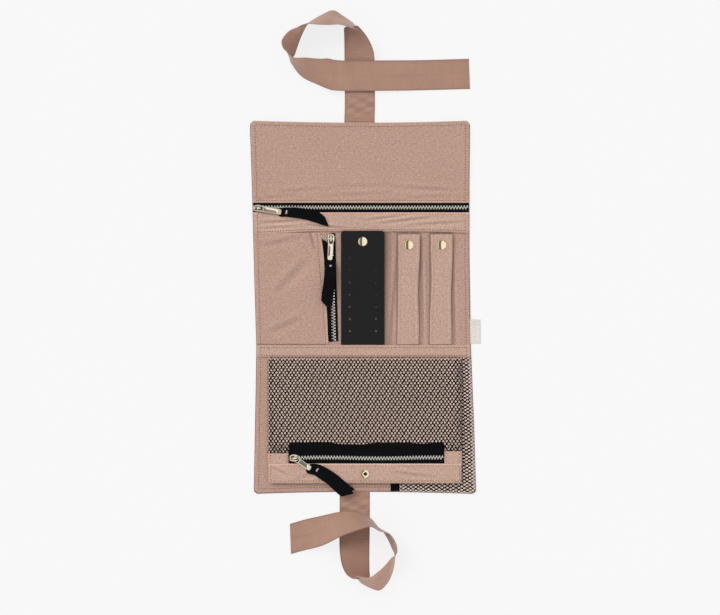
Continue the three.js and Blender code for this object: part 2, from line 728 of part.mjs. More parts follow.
// Net slip pocket on the right of the bottom panel, open at its bound edge.
function slipPocket(panel) {
  const high = lowerFold - BAND_REACH - PIECE_GAP;
  const low = bottomEdge + SLIP_EDGE_INSET;
  const right = halfWidth - SLIP_EDGE_INSET;
  const mouth = halfWidth - SLIP_POCKET_WIDTH;
  const netStart = mouth + SLIP_BINDING_WIDTH + PIECE_GAP;
  const binding = block(mouth, mouth + SLIP_BINDING_WIDTH, low, high, onLining, slipTop);
  add(panel, "slip_pocket_binding", binding, blackTape);
  const net = plate(netShape(netStart, right, low, high, SLIP_NET_COLUMNS, SLIP_NET_ROWS), onLining,
    onLining + NET_THICKNESS);
  add(panel, "slip_pocket_net", net, blackNet);
}

// Zipped pouch: tray-shaped back, net front, trim with end tabs round the zip. Y runs down from its seam.
function netPouch(panel) {
  const seat = slipTop + POUCH_SEAT;
  const rise = Math.atan((liningTop + SNAP_STANDOFF - seat) / pouchSnapDrop);
  const pouch = new THREE.Group();
  pouch.position.set(pouchX, lowerFold - BAND_REACH - PIECE_GAP, seat);
  pouch.rotation.x = -rise;
  const half = pouchWidth / 2;
  const toothZ = POUCH_BACK_THICKNESS + POUCH_TOOTH_CLEARANCE + TOOTH_THICKNESS / 2;
  const rimTop = toothZ + TAPE_THICKNESS / 2;
  const faceZ = rimTop + LAYER_GAP;
  const faceTop = faceZ + NET_THICKNESS;
  const snapHole = () => roundHole(0, -pouchSnapDrop, ringShank + SNAP_RING_PLAY, roundSegments);

  const outline = cornered(-half, half, -pouchLength, 0, POUCH_CORNER, 0);
  outline.holes.push(snapHole());
  const inX = half - HEM_WIDTH;
  const hollow = block(-inX, inX, -pouchLength + HEM_WIDTH, -HEM_WIDTH, POUCH_BACK_THICKNESS, faceTop);
  add(pouch, "pouch_back", cut(plate(outline, 0, rimTop), hollow), pinkCanvas);

  const net = netShape(-half, half, -pouchNetLength, 0, POUCH_NET_COLUMNS, POUCH_NET_ROWS);
  add(pouch, "pouch_net", plate(net, faceZ, faceTop), blackNet);

  const tabTop = -pouchNetLength - PIECE_GAP;
  const trimTop = -pouchLength + POUCH_TRIM_LENGTH;
  const tabX = half - POUCH_TAB_WIDTH;
  const trimOutline = cornered(-half, half, -pouchLength, tabTop, POUCH_CORNER, 0);
  trimOutline.holes.push(snapHole());
  const trim = cut(plate(trimOutline, faceZ, faceTop), block(-tabX, tabX, trimTop, 0, 0, rimTop + faceTop));
  add(pouch, "pouch_trim", trim, pinkCanvas);

  const zipGroup = zip("pouch_zip", {
    chain: pouchWidth - pouchSliderInset - POUCH_TAB_WIDTH - POUCH_CHAIN_END_GAP,
    lead: pouchSliderInset - POUCH_TAB_WIDTH + TAPE_TUCK,
    tail: POUCH_CHAIN_END_GAP + TAPE_TUCK,
    upperTape: POUCH_UPPER_TAPE + TAPE_TUCK,
    lowerTape: pouchLength - POUCH_TRIM_LENGTH - pouchZipDrop + TAPE_TUCK,
    pullTurn: POUCH_PULL_TURN,
  });
  zipGroup.position.set(-half + pouchSliderInset, -pouchZipDrop, toothZ);
  pouch.add(zipGroup);

  add(pouch, "pouch_snap_ring", snapRing(faceTop), paleGold).position.y = -pouchSnapDrop;
  add(pouch, "pouch_snap_socket", snapSocket(), silver).position.y = -pouchSnapDrop;
  panel.add(pouch);
  const stud = add(panel, "pouch_snap_stud", snapStud(), silver);
  stud.position.set(pouchX, pouch.position.y - pouchSnapDrop * Math.cos(rise), onLining);
}

function bottomPanel(root) {
  const panel = new THREE.Group();
  const high = lowerFold - FOLD_GAP / 2;
  panelLayers(panel, "bottom", bottomEdge, high, CORNER_RADIUS, 0);
  const bandEdge = lowerFold - BAND_REACH;
  const band = block(-halfWidth, halfWidth, bandEdge, high, onLining, onLining + BAND_THICKNESS);
  add(panel, "bottom_band", band, pinkCanvas);
  slipPocket(panel);
  netPouch(panel);
  root.add(panel);
}

// A ribbon between its two edges, of constant width, with a little thickness.
function ribbon(route) {
  const lower = route.map(([x, y, , , lift]) => new THREE.Vector3(x, y, TIE_LIFT + lift));
  const upper = route.map(([, , turn, tilt], i) => {
    const direction = THREE.MathUtils.degToRad(turn);
    const slope = THREE.MathUtils.degToRad(tilt);
    const across = new THREE.Vector3(
      Math.cos(slope) * Math.cos(direction),
      Math.cos(slope) * Math.sin(direction),
      Math.sin(slope),
    );
    return lower[i].clone().addScaledVector(across, TIE_WIDTH);
  });
  const lowerEdge = new THREE.CatmullRomCurve3(lower);
  const upperEdge = new THREE.CatmullRomCurve3(upper);
  const steps = (route.length - 1) * TIE_STEPS;
  const points = [];
  const triangles = [];
  for (let i = 0; i <= steps; i++) {
    const t = i / steps;
    const a = lowerEdge.getPoint(t);
    const across = upperEdge.getPoint(t).sub(a).normalize();
    const b = a.clone().addScaledVector(across, TIE_WIDTH);
    const along = lowerEdge.getTangent(t).add(upperEdge.getTangent(t));
    const normal = along.cross(across).normalize().multiplyScalar(TIE_THICKNESS / 2);
    points.push(a.clone().add(normal), b.clone().add(normal), b.clone().sub(normal), a.clone().sub(normal));
    if (i === 0) continue;
    for (let k = 0; k < 4; k++) {
      const p = 4 * (i - 1) + k;
      const q = 4 * (i - 1) + ((k + 1) % 4);
      // Both faces are split along the same diagonal, so a twisted stretch keeps its thickness.
      if (k < 2) triangles.push(p, q + 4, q, p, p + 4, q + 4);
      else triangles.push(p, p + 4, q, q, p + 4, q + 4);
    }
  }
  const last = 4 * steps;
  triangles.push(0, 1, 2, 0, 2, 3, last, last + 2, last + 1, last, last + 3, last + 2);
  const geometry = new THREE.BufferGeometry().setFromPoints(points);
  geometry.setIndex(triangles);
  geometry.computeVertexNormals();
  return geometry;
}

function ties(root) {
  const places = [
    ["top_tie", TOP_TIE_ROUTE, TOP_TIE_X, flapEdge + PIECE_GAP],
    ["bottom_tie", BOTTOM_TIE_ROUTE, BOTTOM_TIE_X, bottomEdge - PIECE_GAP],
  ];
  for (const [name, route, x, y] of places) {
    add(root, name, ribbon(route), pinkRibbon).position.set(x, y, 0);
  }
}

const jewelryPouch = new THREE.Group();
middlePanel(jewelryPouch);
topFlap(jewelryPouch);
bottomPanel(jewelryPouch);
ties(jewelryPouch);

export default jewelryPouch;
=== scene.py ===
# Looks of a fold-up jewelry pouch that lies open on a white table.
import json
import math

import bmesh
import bpy
import numpy as np
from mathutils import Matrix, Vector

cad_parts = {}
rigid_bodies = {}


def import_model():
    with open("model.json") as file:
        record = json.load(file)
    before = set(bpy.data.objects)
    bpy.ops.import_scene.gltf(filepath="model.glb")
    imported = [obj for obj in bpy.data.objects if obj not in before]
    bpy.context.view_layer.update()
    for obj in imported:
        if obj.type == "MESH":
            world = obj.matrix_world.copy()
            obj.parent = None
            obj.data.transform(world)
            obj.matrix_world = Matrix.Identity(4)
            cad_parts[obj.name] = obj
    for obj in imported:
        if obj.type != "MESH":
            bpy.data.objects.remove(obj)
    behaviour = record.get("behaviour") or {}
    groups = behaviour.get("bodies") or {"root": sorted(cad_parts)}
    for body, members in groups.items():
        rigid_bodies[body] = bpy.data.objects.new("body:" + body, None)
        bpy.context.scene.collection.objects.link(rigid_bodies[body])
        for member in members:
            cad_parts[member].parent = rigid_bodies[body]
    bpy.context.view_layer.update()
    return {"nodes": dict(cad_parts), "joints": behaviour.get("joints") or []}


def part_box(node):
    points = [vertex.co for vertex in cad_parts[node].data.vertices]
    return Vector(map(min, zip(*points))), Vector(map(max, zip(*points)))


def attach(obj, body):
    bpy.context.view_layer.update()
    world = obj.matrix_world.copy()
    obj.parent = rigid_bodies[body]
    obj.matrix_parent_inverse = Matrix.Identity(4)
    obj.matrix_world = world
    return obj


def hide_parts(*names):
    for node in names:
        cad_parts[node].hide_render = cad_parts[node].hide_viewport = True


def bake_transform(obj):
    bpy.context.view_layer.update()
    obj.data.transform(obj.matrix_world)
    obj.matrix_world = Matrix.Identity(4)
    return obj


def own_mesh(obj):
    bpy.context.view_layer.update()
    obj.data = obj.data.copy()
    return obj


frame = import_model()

# Sizes, in millimetres unless a name says otherwise
MM = 0.001
PIXEL = 0.84
IMAGE_WIDTH = 720
LENS = 85
SENSOR = 36
VIEW_CENTRE = (-1.68, -16.38, 3.0)
VIEW_REACH_METRES = 20
FLOOR_HALF = 3000
FLOOR_DROP = 0.15

# Cloth
EDGE_STEPS = (0, 0.12, 0.35, 0.7, 1.2, 1.8, 2.4, 3.0, 3.6, 4.2, 5.0)
CLOTH_STEP = 3.0
ROLL = 1.1
CORNER = 4.0
SHELL_TOP = 1.1
SHELL_PROUD = 0.25
SHELL_TUCK = 0.3
LAYER_GAP = 0.05
LINING_INSET = 0.25
SEAM_HIDDEN = 0.15
# Painted highlight along turned edges, how much and how wide, and how strongly creases are painted in shade
EDGE_HIGHLIGHT = 0.55
EDGE_HIGHLIGHT_WIDTH = 1.6
CREASE_SHADE = 0.7
CANVAS_SPREAD = 0.36
# Half the length of the shell at a fold, passed on with the fold, and the rows that it has there
SHELL_BEND = 5.5
FOLD_ROWS = np.linspace(-6, 6, 19)

# How far the side edges stray from straight, at these places along the case
EDGE_ROWS = (-173, -120, -52, 25, 90, 141)
LEFT_STRAY = (1.2, 2.2, 3.4, 1.2, -0.5, -2.2)
RIGHT_STRAY = (3.8, 2.2, -0.5, -1.8, -1.8, -1.3)
STRAY_FROM_LEFT = 50
STRAY_FROM_RIGHT = 60
TOP_SAG = 1.8
BOTTOM_RISE = 1.8
STRIP_RISE = 1.2

# The fold strip's lower edge: its waves (size, length, start), how far in they reach, and how the edge
# sinks towards its left end
STRIP_EDGE_WAVES = ((0.7, 46, 0.3), (-0.25, 17, 0))
STRIP_EDGE_REACH = 8
STRIP_SINK = 2.2
STRIP_SINK_FROM = 42
STRIP_SINK_OVER = 45

# Waves in the cloth, each (height, length, direction in degrees, start)
MIDDLE_WAVES = ((0.1, 34, 80, 0.4), (0.08, 21, 15, 1.9))
BOTTOM_WAVES = ((0.14, 40, 70, 0.9), (0.1, 27, 20, 2.6))
FRONT_WAVES = ((0.16, 62, 75, 0.3), (0.12, 95, 10, 1.2), (0.06, 23, 50, 2.2))
STRIP_WAVES = ((0.05, 37, 20, 0.5),)
BAND_WAVES = ((0.08, 46, 5, 0.2), (0.05, 19, 12, 1.0))
POCKET_WAVES = ((0.18, 58, 100, 0.8), (0.14, 41, 20, 0.1), (0.06, 19, 60, 1.4))
BINDING_WAVES = ((0.06, 31, 80, 0.4),)
NET_WAVES = ((0.28, 58, 30, 0.4), (0.22, 37, 105, 1.1))
TRIM_WAVES = ((0.1, 44, 8, 0.4), (0.06, 21, 25, 1.7))
BOTTOM_CALM = 0.6
# How far in from their edges the front's waves and the strip's creases reach their full height
FRONT_FADE = 8
STRIP_FADE = 3

# Creases in the cloth, each from x, y to x, y, with a depth and a width; shade is painted along them too
MIDDLE_CREASES = (
    (22.6, -60, 30.2, 44, 0.55, 1.9),
    (51.4, -60, 49.8, 36, 0.5, 1.3),
    (53.8, 50, 55.4, -60, 0.4, 1.3),
    (78.6, -60, 77.2, 42, 0.5, 1.4),
    (21.6, -60, 20.4, 6, 0.4, 1.3),
)
FRONT_CREASES = (
    (-76, 80.6, -34, 84.5, 0.3, 2.4),
    (-89, 75.6, -50, 79, 0.3, 2.2),
    (-28, 85.7, 30, 87.4, 0.2, 2.4),
    (20, 85.7, 88, 82.3, 0.3, 2.4),
    (-38, 77.3, 24, 80.6, 0.25, 2.2),
    (30, 76.4, 86, 78.1, 0.25, 2.2),
)
STRIP_CREASES = (
    (-91, 54.6, -42, 58, 0.6, 1.9),
    (-91, 51.2, -50, 52.5, 0.5, 1.6),
    (-52, 53.8, -12, 50.4, 0.6, 1.8),
    (-1, 57.1, 39, 61.7, 0.5, 1.7),
    (10, 54.4, 60, 60, 0.6, 1.9),
    (34, 52.9, 90, 56.3, 0.5, 1.7),
)
POCKET_CREASES = (
    (-76, -4, -44, 26, 0.3, 5),
    (-88, 36, -48, 44, 0.3, 3.5),
    (-84, -38, -50, -24, 0.3, 4),
)
TRIM_CREASES = (
    (-78, -91, -64, -98, 0.5, 1.8),
    (-60, -101, -30, -94, 0.4, 2.2),
    (20, -95, 62, -100, 0.4, 2.2),
)

# Painted shade on the lining beside a strap: at its left (0) or right (1), how much, and how far out
STRAP_SHADES = (
    ("earring_panel", 1, 0.8, 5.0),
    ("inner_ring_strap", 0, 1.3, 1.3),
    ("inner_ring_strap", 1, 0.5, 1.5),
    ("outer_ring_strap", 0, 1.1, 1.3),
    ("outer_ring_strap", 1, 0.6, 1.5),
)
STRAP_SHADE_END = 8

# The side pocket's dart: a groove, the fold at its right, and painted shade and light along them
DART_TOP = (-44.0, 47.5)
DART_FOOT = (-39.6, 31.5)
DART_DEPTH = 0.9
DART_WIDTH = 0.8
DART_FOLD = 0.7
DART_FOLD_START = 1.2
DART_FOLD_LENGTH = 7
DART_SHADE = 0.6
DART_LIGHT = 0.4
DART_LIGHT_PLACE = 2.8
DART_LIGHT_WIDTH = 1.6

# How much of the side zip's tape the pocket leaves in view, at its foot and head, and its wider upper end
WINDOW_LOW = 6.4
WINDOW_HIGH = 6.2
WINDOW_FLARE = 3.2
WINDOW_FLARE_LENGTH = 8

# Stitching
STITCH_PITCH = 2.3
STITCH_LENGTH = 1.15
THREAD_RADIUS = 0.33
STITCH_INSET = 3.6
STITCH_DIP = 0.35
STITCH_RISE = 0.12
STITCH_RINGS = (-1, -0.7, 0, 0.7, 1)
STITCH_SIDES = 6
STITCH_TILT = 0.08
STITCH_TAPER = 0.9
# How far the rows of stitches lie inside the edges they follow
FRONT_SEAM = 2.2
STRIP_SEAMS = (2, 1.5)
BAND_SEAMS = (1.6, 2.2)
POCKET_SEAM = 2.4
POUCH_SEAM = 2.2
BAR_SEAM = 2
TAB_SEAM = 1.6
# How far the rows stop short of a cross seam, of a panel's end, and of a tab's foot and head
ROW_CLEAR = 1
PANEL_CLEAR = 0.5
TAB_CLEAR = (0.6, 0.8)

# Zip teeth and tapes, and how each chain lies
TOOTH_PITCH = 2.45
TOOTH_LENGTH = 1.2
TOOTH_SECTION = ((-0.4, 0.3), (-0.1, 0.6), (1.3, 0.62), (1.7, 0.35), (1.7, -0.35), (1.3, -0.6),
                 (-0.1, -0.6), (-0.4, -0.3))
TOOTH_RINGS = ((-0.5, 0.8), (-0.36, 1.0), (0.36, 1.0), (0.5, 0.8))
TOOTH_MIDDLE = 0.75
TAPE_INNER = 0.3
TAPE_HALF = 0.2
TAPE_CLEAR = 0.1
TAPE_WAVE = (0.05, 23, 5)
TAPE_CORD = 2.3
TAPE_CORD_WIDTH = 0.7
TAPE_CORD_RISE = 0.3
FLAP_TAPE_ENDS = (-91.4, 89.7)
ZIP_SHIFT = 0.8
ZIP_LEAN = 1.6 / 73
ZIP_WAVE = 0.35
ZIP_WAVE_LENGTH = 15
# The teeth that are parted above the side zip's slider: the first one's place and the step to the next
OPEN_TEETH = 4
OPEN_TAPE = 0.9
OPEN_START = np.array((1.6, -4.2))
OPEN_STEP = np.array((-1.0, -1.5))

# Sliders and pulls
SLIDER_HALF = ((-3.7, 1.7), (-3.2, 2.3), (-1.8, 2.9), (0, 3.0), (2, 2.7), (3.4, 2.0), (4.2, 1.2))
SLIDER_BASE = 0.66
SLIDER_TOP = 1.5
SLIDER_BEVEL = 0.3
# The dark plate painted as the shade in the slider's recess: corners, reach below and above its top, bevel
RECESS = ((-2.7, -1.6), (3.9, 1.6))
RECESS_LOW = 0.1
RECESS_HIGH = 0.04
RECESS_BEVEL = 0.02
BRIDGE_PATH = ((-3.3, 1.3), (-3.3, 2.2), (-3, 2.8), (-2.4, 3.15), (-1.4, 3.25), (0.6, 3.25), (1.6, 3.15),
               (2.2, 2.8), (2.5, 2.2), (2.5, 1.3))
BRIDGE_WIDTH = 1.5
BRIDGE_THICKNESS = 0.7
PULL_LENGTHS = {"flap_zip": 20.0, "side_zip": 18.2, "pouch_zip": 16.6}
PULL_WIDTHS = {"flap_zip": 5.4, "side_zip": 4.8, "pouch_zip": 4.8}
PULL_RISE = 2.15
PULL_BACK = 0.45
PULL_RADIUS = 1.5
PULL_TAPER = 0.16
PULL_THICKNESS = 0.8
PULL_BEVEL = 0.2
PULL_EYE = ((0.5, -1.65), (4.6, 1.65))
EYE_RADIUS = 0.9
PULL_RIDGE = 0.3
RIDGE_START = 5.2
RIDGE_FROM_TIP = 2.6
RIDGE_WIDTH = 0.78
RIDGE_SINK = 0.05
RIDGE_PLACES = {"flap_zip": 0.2, "side_zip": 0.0, "pouch_zip": 0.85}

# Straps and snaps
STRAP_THICKNESS = 1.0
SNAP_FROM_END = 9.0
HOLE_RADIUS = 0.95
HOLE_COLUMN = 11.0
FIRST_HOLE = 11.4
HOLE_PITCH = 10.2
HOLE_ROWS = 8
PANEL_CORNERS = (2.6, 0.3)
PANEL_BEVEL = 0.22
STRAP_WAIST = 0.85
WAIST_LENGTH = 22
STRAP_CORNER = 1.6
STRAP_LEAN = 0.9
STRAP_WAVER = 0.25
STRAP_WAVER_LENGTH = 11
STRAP_WAVES = ((0.1, 33, 88), (0.06, 14, 70))
# Ridge and groove along a ring strap's edges: rise, distance from the edge, width
STRAP_RIDGES = ((0.32, 1.5, 0.8), (-0.16, 3.2, 1.0))
# Turned metal pieces, as (radius, height) from axis to axis or closed round a ring
CAP_PROFILE = ((0, 1.42), (0.9, 1.4), (1.8, 1.32), (2.6, 1.18), (3.3, 0.95), (3.8, 0.66), (4.05, 0.36),
               (4.15, 0.14), (4.1, 0), (3.4, -0.05), (0, -0.05))
SOCKET_PROFILE = ((1.5, 0), (3.3, 0), (3.6, -0.2), (3.6, -0.6), (3.2, -1.1), (2.4, -1.4), (1.6, -1.4),
                  (1.4, -1.0), (1.5, 0))
STUD_PROFILE = ((0, 0.0), (3.3, 0.0), (3.5, 0.1), (3.4, 0.3), (1.7, 0.42), (1.2, 0.6), (1.15, 1.1),
                (1.3, 1.35), (1.1, 1.65), (0.6, 1.75), (0, 1.75))
RING_PROFILE = ((1.2, 0.9), (1.35, 1.15), (1.8, 1.22), (2.9, 1.2), (3.3, 1.05), (3.5, 0.7), (3.55, 0.1),
                (3.4, -0.05), (1.2, -0.05), (1.15, 0.5), (1.2, 0.9))
# a dark disc as painted shade in the snap ring's hole
WELL_PROFILE = ((0, 0.3), (1.28, 0.3), (1.28, -0.05), (0, -0.05))

# Net
POUCH_CELL = (2.98, 2.21)
SLIP_CELL = (4.24, 1.46)
POUCH_HOLE = (0.91, 1.05)
SLIP_HOLE = (1.14, 0.81)
NET_SIDES = 12
NET_STRAND = 0.26
NET_WANDER = 0.12
# painted light: how much lighter the lining is painted under the slip pocket's net
SLIP_PAINTED_LIGHT = 1.45
SLIP_RISE = 0.35
SLIP_WAVE = 0.08
# How far the nets go on past what they are sewn to
SLIP_MARGINS = (1.5, 0.3, 0.2, 1)
POUCH_MARGINS = (0.4, 0.8)
BINDING_RISE = 0.6
BINDING_MARGINS = (0.6, 0.8)

# Net pouch and label
POUCH_BASE = 0.35
BACK_INSET = 0.5
POUCH_FRONT = 1.95
POUCH_CORNER = 3.0
TRIM_TOP = 2.3
BAR_HEIGHT = 16.8
TAB_WIDTHS = (17.6, 15.0)
TAB_HEIGHTS = (8.8, 10.4)
TAB_LAP = 1.5
TAB_DROP = 0.12
NET_DROP = 0.25
NET_SLACK_START = 14
BACK_THICKNESS = 0.3
BACK_GAP = 0.05
TRIM_GAP = 0.02
BULGE_FROM_BAR = 12
BULGE_START = 6
TAPE_FROM_BAR = 14
NET_FROM_BAR = 6
LABEL_ROOT = 2.7
LABEL_CURL = 0.12

# Ribbon ties
TIE_WIDTH = 25.4
TIE_THICKNESS = 0.4
TIE_LIFT = 0.6
TIE_LOWEST = 0.05
TIE_TUCK = 2.8
TIE_STEPS = 16
TIE_COLUMNS = 12
# Creases near a tie's root: how far along they lie and reach, and their waves
TIE_CREASE = 15
TIE_CREASE_REACH = 9
TIE_CREASES = ((0.35, 9, 62, 0.4), (0.25, 6.5, 118, 1.3))
# Painted shade in the crumples near a tie's root, and how much the crumples rise
CRUMPLE_SHADE = 0.9
CRUMPLE_RISE = 0.5
TIE_CUP = 0.35
TIE_CUP_LENGTH = 13
# Painted light where the ribbon faces away from the lamp: how much lighter, and how strongly facing counts
TIE_PAINTED_LIGHT = 1.7
TIE_PAINTED_LIGHT_FACING = 0.7
TOP_TIE_ROOT = (-2.1, 141.3)
BOTTOM_TIE_ROOT = (-6.2, -173.3)

# Each row is one place along a tie: its lower edge (x, y from the root), the plan direction to the other
# edge, the tilt there (degrees) and the height of the lower edge above where the ribbon lies.
TOP_TIE_ROUTE = (
    (-12.7, 0, 0, 0, 0.4),
    (-12.4, 11, 0, 0, 0),
    (-12.5, 38, 0, 1, 0),
    (-12.6, 52, 0, 8, 0),
    (-12.6, 63, 0, 32, 0),
    (-12.7, 72, 0, 54, 0),
    (-12.4, 77.8, -12, 66, 0),
    (-3.7, 79.2, -72, 73, 0),
    (-14.7, 88.2, -98, 63, 0),
    (-22.3, 92.2, -103, 52, 0),
    (-32.3, 88.2, -98, 63, 0),
    (-42.8, 81.6, -104, 79, 0),
    (-46.6, 75.6, 198, 78, 0),
    (-50, 68, 166, 68, 0),
    (-53, 59.6, 163, 62, 0),
    (-55, 54.2, 160, 70, 0),
    (-58.4, 50.8, 113, 83, 0),
    (-56, 45.8, 69, 82, 0),
    (-48.3, 36.5, 68, 57, 0),
    (-35, 29.8, 79, 39, 0.6),
    (-23.5, 24.8, 87, 9, 3.6),
    (-20.6, 24.4, 89, 5, 4.2),
    (-12.5, 24.2, 90, 4, 2.3),
    (0, 24.2, 90, 4, 2.4),
    (22, 24.4, 90, 3, 2),
    (50, 25, 91, 0, 0.2),
    (93, 26.2, 92, 0, 0),
)
BOTTOM_TIE_ROUTE = (
    (12.8, 0, 180, 0, 0.4),
    (12.8, -13, 180, 0, 0),
    (12.6, -37, 180, 2, 0),
    (12.4, -47, 181, 12, 0),
    (12.3, -57, 181, 25, 0),
    (12.4, -65, 181, 43, 0),
    (12.2, -70.2, 168, 64, 0),
    (3.8, -72.8, 108, 73, 0),
    (14.6, -79.6, 97, 59, 0),
    (21, -80.9, 92, 43, 0),
    (27.6, -74.8, 93, 43, 0),
    (32.3, -64.3, 96, 57, 0),
    (33.8, -52.1, 85, 80, 0),
    (31, -44.5, 12, 80, 0),
    (27.4, -37, 4, 76, 0),
    (23.4, -31, 9, 78, 0),
    (19.5, -27.4, -20, 86, 0.5),
    (13.4, -20.2, -90, 81, 1.5),
    (4.5, -15.4, -90, 64, 2.4),
    (-4.7, -13.9, -87, 51, 2.4),
    (-13.9, -15.1, -90, 40, 2),
    (-29, -18.5, -88, 18, 0.8),
    (-42.5, -21.6, -86, 2, 0.2),
    (-54.5, -25.2, -88, 0, 0),
)

# Ribbon pullers: their far ends, across and along from the pull's hinge
PULLER_ENDS = {
    "flap_zip": ((-4.7, 61.5), (2.6, 56.8), (5.9, 51.2)),
    "side_zip": ((-5.4, 52.5), (-0.9, 57.2), (4.2, 57)),
    "pouch_zip": ((-5.3, 51.1), (2.5, 58.4), (3.1, 55.4), (5.9, 57.4)),
}
# How far each puller bows across, at its clip and half way to its end, and how high it lies
PULLER_BOWS = {"flap_zip": (1.0, 2.5), "side_zip": (0.9, 0.9), "pouch_zip": (2.4, 3.1)}
PULLER_SAG = {"flap_zip": -0.5, "side_zip": 2.5, "pouch_zip": -0.4}
# Rows of a puller by the pull's tip: along from it, share of the width, share of the bow, and height
PULLER_TIP = ((-2.4, 0.7, 0, -0.65), (-0.8, 0.9, 0, -0.65), (0.6, 1, 0.2, -0.55), (1.9, 1, 0.5, -0.3))
# Layers of a puller: name, how high it lies, and how much shorter it is
PULLER_LAYERS = (("upper", 0.2, 0.0), ("lower", -0.25, 1.3))
PULLER_NARROW = 0.92
PULLER_CURLS = (0.18, 0.15)
PULLER_COLUMNS = 19
PULLER_ROWS = 26
LAYER_DROP = 0.3
RIBBON_THICKNESS = 0.35
RIBBON_HALVES = {"flap_zip": 4.2, "side_zip": 4.8, "pouch_zip": 5.4}
CLIP_PLACES = {"flap_zip": 24.5, "side_zip": 23.0, "pouch_zip": 21.9}
CLIP_WIDTHS = {"flap_zip": 3.2, "side_zip": 1.9, "pouch_zip": 3.2}
CLIP_RISES = {"flap_zip": 0.0, "side_zip": 1.3, "pouch_zip": 0.0}
CLIP_LOW = -0.1
# Upper bar of the crimped clip as (along, up), what its lower bar keeps of that, and their section
CLIP_PATH = ((-0.65, 0.62), (-0.5, 0.82), (-0.15, 0.78), (0, 0.68), (0.15, 0.78), (0.5, 0.82), (0.65, 0.62))
CLIP_UNDER = -0.75
CLIP_BAR = (0.45, 0.18)

# Colours as they look in daylight, 0 to 255, some painted for light and shade as noted
PINK = (189, 154, 138)
RAISED_PINK = (197, 163, 146)
# painted light: a lighter copy of the lining's pink for the pouch's back, against the net's shade on it
NET_BACK_LIT_PINK = (228, 198, 184)
RIBBON_PINK = (164, 128, 111)
# painted light: the lining's pink where painted light makes it palest, under the slip pocket's net
PAINTED_LIGHT_PINK = (240, 216, 204)
# thread a little darker than the pink cloth, and painted darker still for the shade where it dips in
SHADED_THREAD = (118, 82, 68)
SHELL_GREY = (40, 38, 40)
TAPE_BLACK = (9, 10, 12)
NET_BLACK = (16, 14, 15)
LEATHER_BLACK = (19, 19, 21)
LABEL_CREAM = (228, 223, 215)
GOLD = (246, 233, 196)
# painted shade: dark metal for the shade in the sliders' recesses and the pouch snap ring's hole
PAINTED_SHADE_METAL = (66, 56, 40)
CHAMPAGNE = (246, 236, 212)
SILVER = (226, 222, 212)
FLOOR_WHITE = (242, 242, 242)
PAGE_WHITE = (248, 248, 248)

# Light
TABLE_GLOW = 0.85
ROOM_LIGHT = 0.72
LAMP_POWER = 1.6
LAMP_ANGLE = 36
LAMP_TILT = (-30, -34)
# What metal reflects of the room: grey levels across it, left to right, and from the floor up
ROOM_ACROSS = ((0.0, 0.8), (0.18, 1.0), (0.24, 0.2), (0.45, 0.16), (0.475, 0.6), (0.492, 1.0), (1.0, 0.85))
ROOM_UP = ((0.0, 0.3), (0.5, 0.3), (0.62, 0.35), (0.74, 1.0), (1.0, 1.0))

# Blender's wave texture has waves of this length at scale 1
WAVE_TURN = math.pi / 10


def linear(color):
    """A 0 to 255 colour as Blender's linear colour."""
    share = np.array(color) / 255
    low = share / 12.92
    high = ((share + 0.055) / 1.055) ** 2.4
    return (*np.where(share <= 0.04045, low, high), 1.0)


def scaled(color, factor):
    """The same linear colour, darker or lighter."""
    return (*np.clip(np.array(color[:3]) * factor, 0, 1), 1.0)


# Measures taken from the frame
def node_box(node):
    low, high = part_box(node)
    return np.array(low) / MM, np.array(high) / MM


def span(node, origin, axis):
    """How far a node reaches from origin along an axis, lowest and highest."""
    points = np.array([v.co for v in frame["nodes"][node].data.vertices]) / MM
    reach = (points - origin) @ axis
    return reach.min(), reach.max()


def joint(name):
    return next(j for j in frame["joints"] if j["name"] == name)


def unit(vector):
    return np.asarray(vector, float) / np.linalg.norm(vector)


def axes(origin, first, second, third):
    """A local frame as a 4 by 4 matrix, in millimetres."""
    matrix = np.eye(4)
    matrix[:3, 0], matrix[:3, 1], matrix[:3, 2], matrix[:3, 3] = first, second, third, origin
    return matrix


def placed(points, matrix):
    return np.asarray(points, float) @ matrix[:3, :3].T + matrix[:3, 3]


# Meshes
def make(name, points, faces, material, flat=None, sharp=40, worn=None):
    """A mesh piece from points in mm. flat holds each point's place on the cloth, for its weave,
    and the painted shading how much darker it is painted there for shade, and lighter below 0."""
    if name in frame["nodes"]:
        name += "_look"
    mesh = bpy.data.meshes.new(name)
    mesh.from_pydata((np.asarray(points) * MM).tolist(), [], [list(map(int, face)) for face in faces])
    index = np.empty(len(mesh.loops), int)
    mesh.loops.foreach_get("vertex_index", index)
    for layer_name, values in (("flat", flat), ("worn", worn)):
        if values is not None:
            layer = mesh.uv_layers.new(name=layer_name)
            layer.data.foreach_set("uv", np.asarray(values, np.float32)[index].ravel())
    joined = bmesh.new()
    joined.from_mesh(mesh)
    bmesh.ops.remove_doubles(joined, verts=joined.verts, dist=1e-6)
    bmesh.ops.dissolve_degenerate(joined, edges=joined.edges, dist=1e-7)
    bmesh.ops.recalc_face_normals(joined, faces=joined.faces)
    joined.to_mesh(mesh)
    joined.free()
    mesh.shade_smooth()
    mesh.set_sharp_from_angle(angle=math.radians(sharp))
    mesh.materials.append(material)
    piece = bpy.data.objects.new(name, mesh)
    bpy.context.scene.collection.objects.link(piece)
    return piece


class Pile:
    """Many small copies that become one mesh."""

    def __init__(self):
        self.points = []
        self.faces = []
        self.count = 0

    def add(self, points, faces):
        self.points.append(points)
        self.faces += [[corner + self.count for corner in face] for face in faces]
        self.count += len(points)

    def piece(self, name, material):
        return make(name, np.concatenate(self.points), self.faces, material)


def spaced(length, step=CLOTH_STEP):
    """Places from 0 to length, close together near both ends."""
    fine = np.array([place for place in EDGE_STEPS if place < 0.45 * length])
    count = max(2, round((length - 2 * fine[-1]) / step) + 1)
    inner = np.linspace(fine[-1], length - fine[-1], count)
    return np.concatenate([fine[:-1], inner, length - fine[:-1][::-1]])


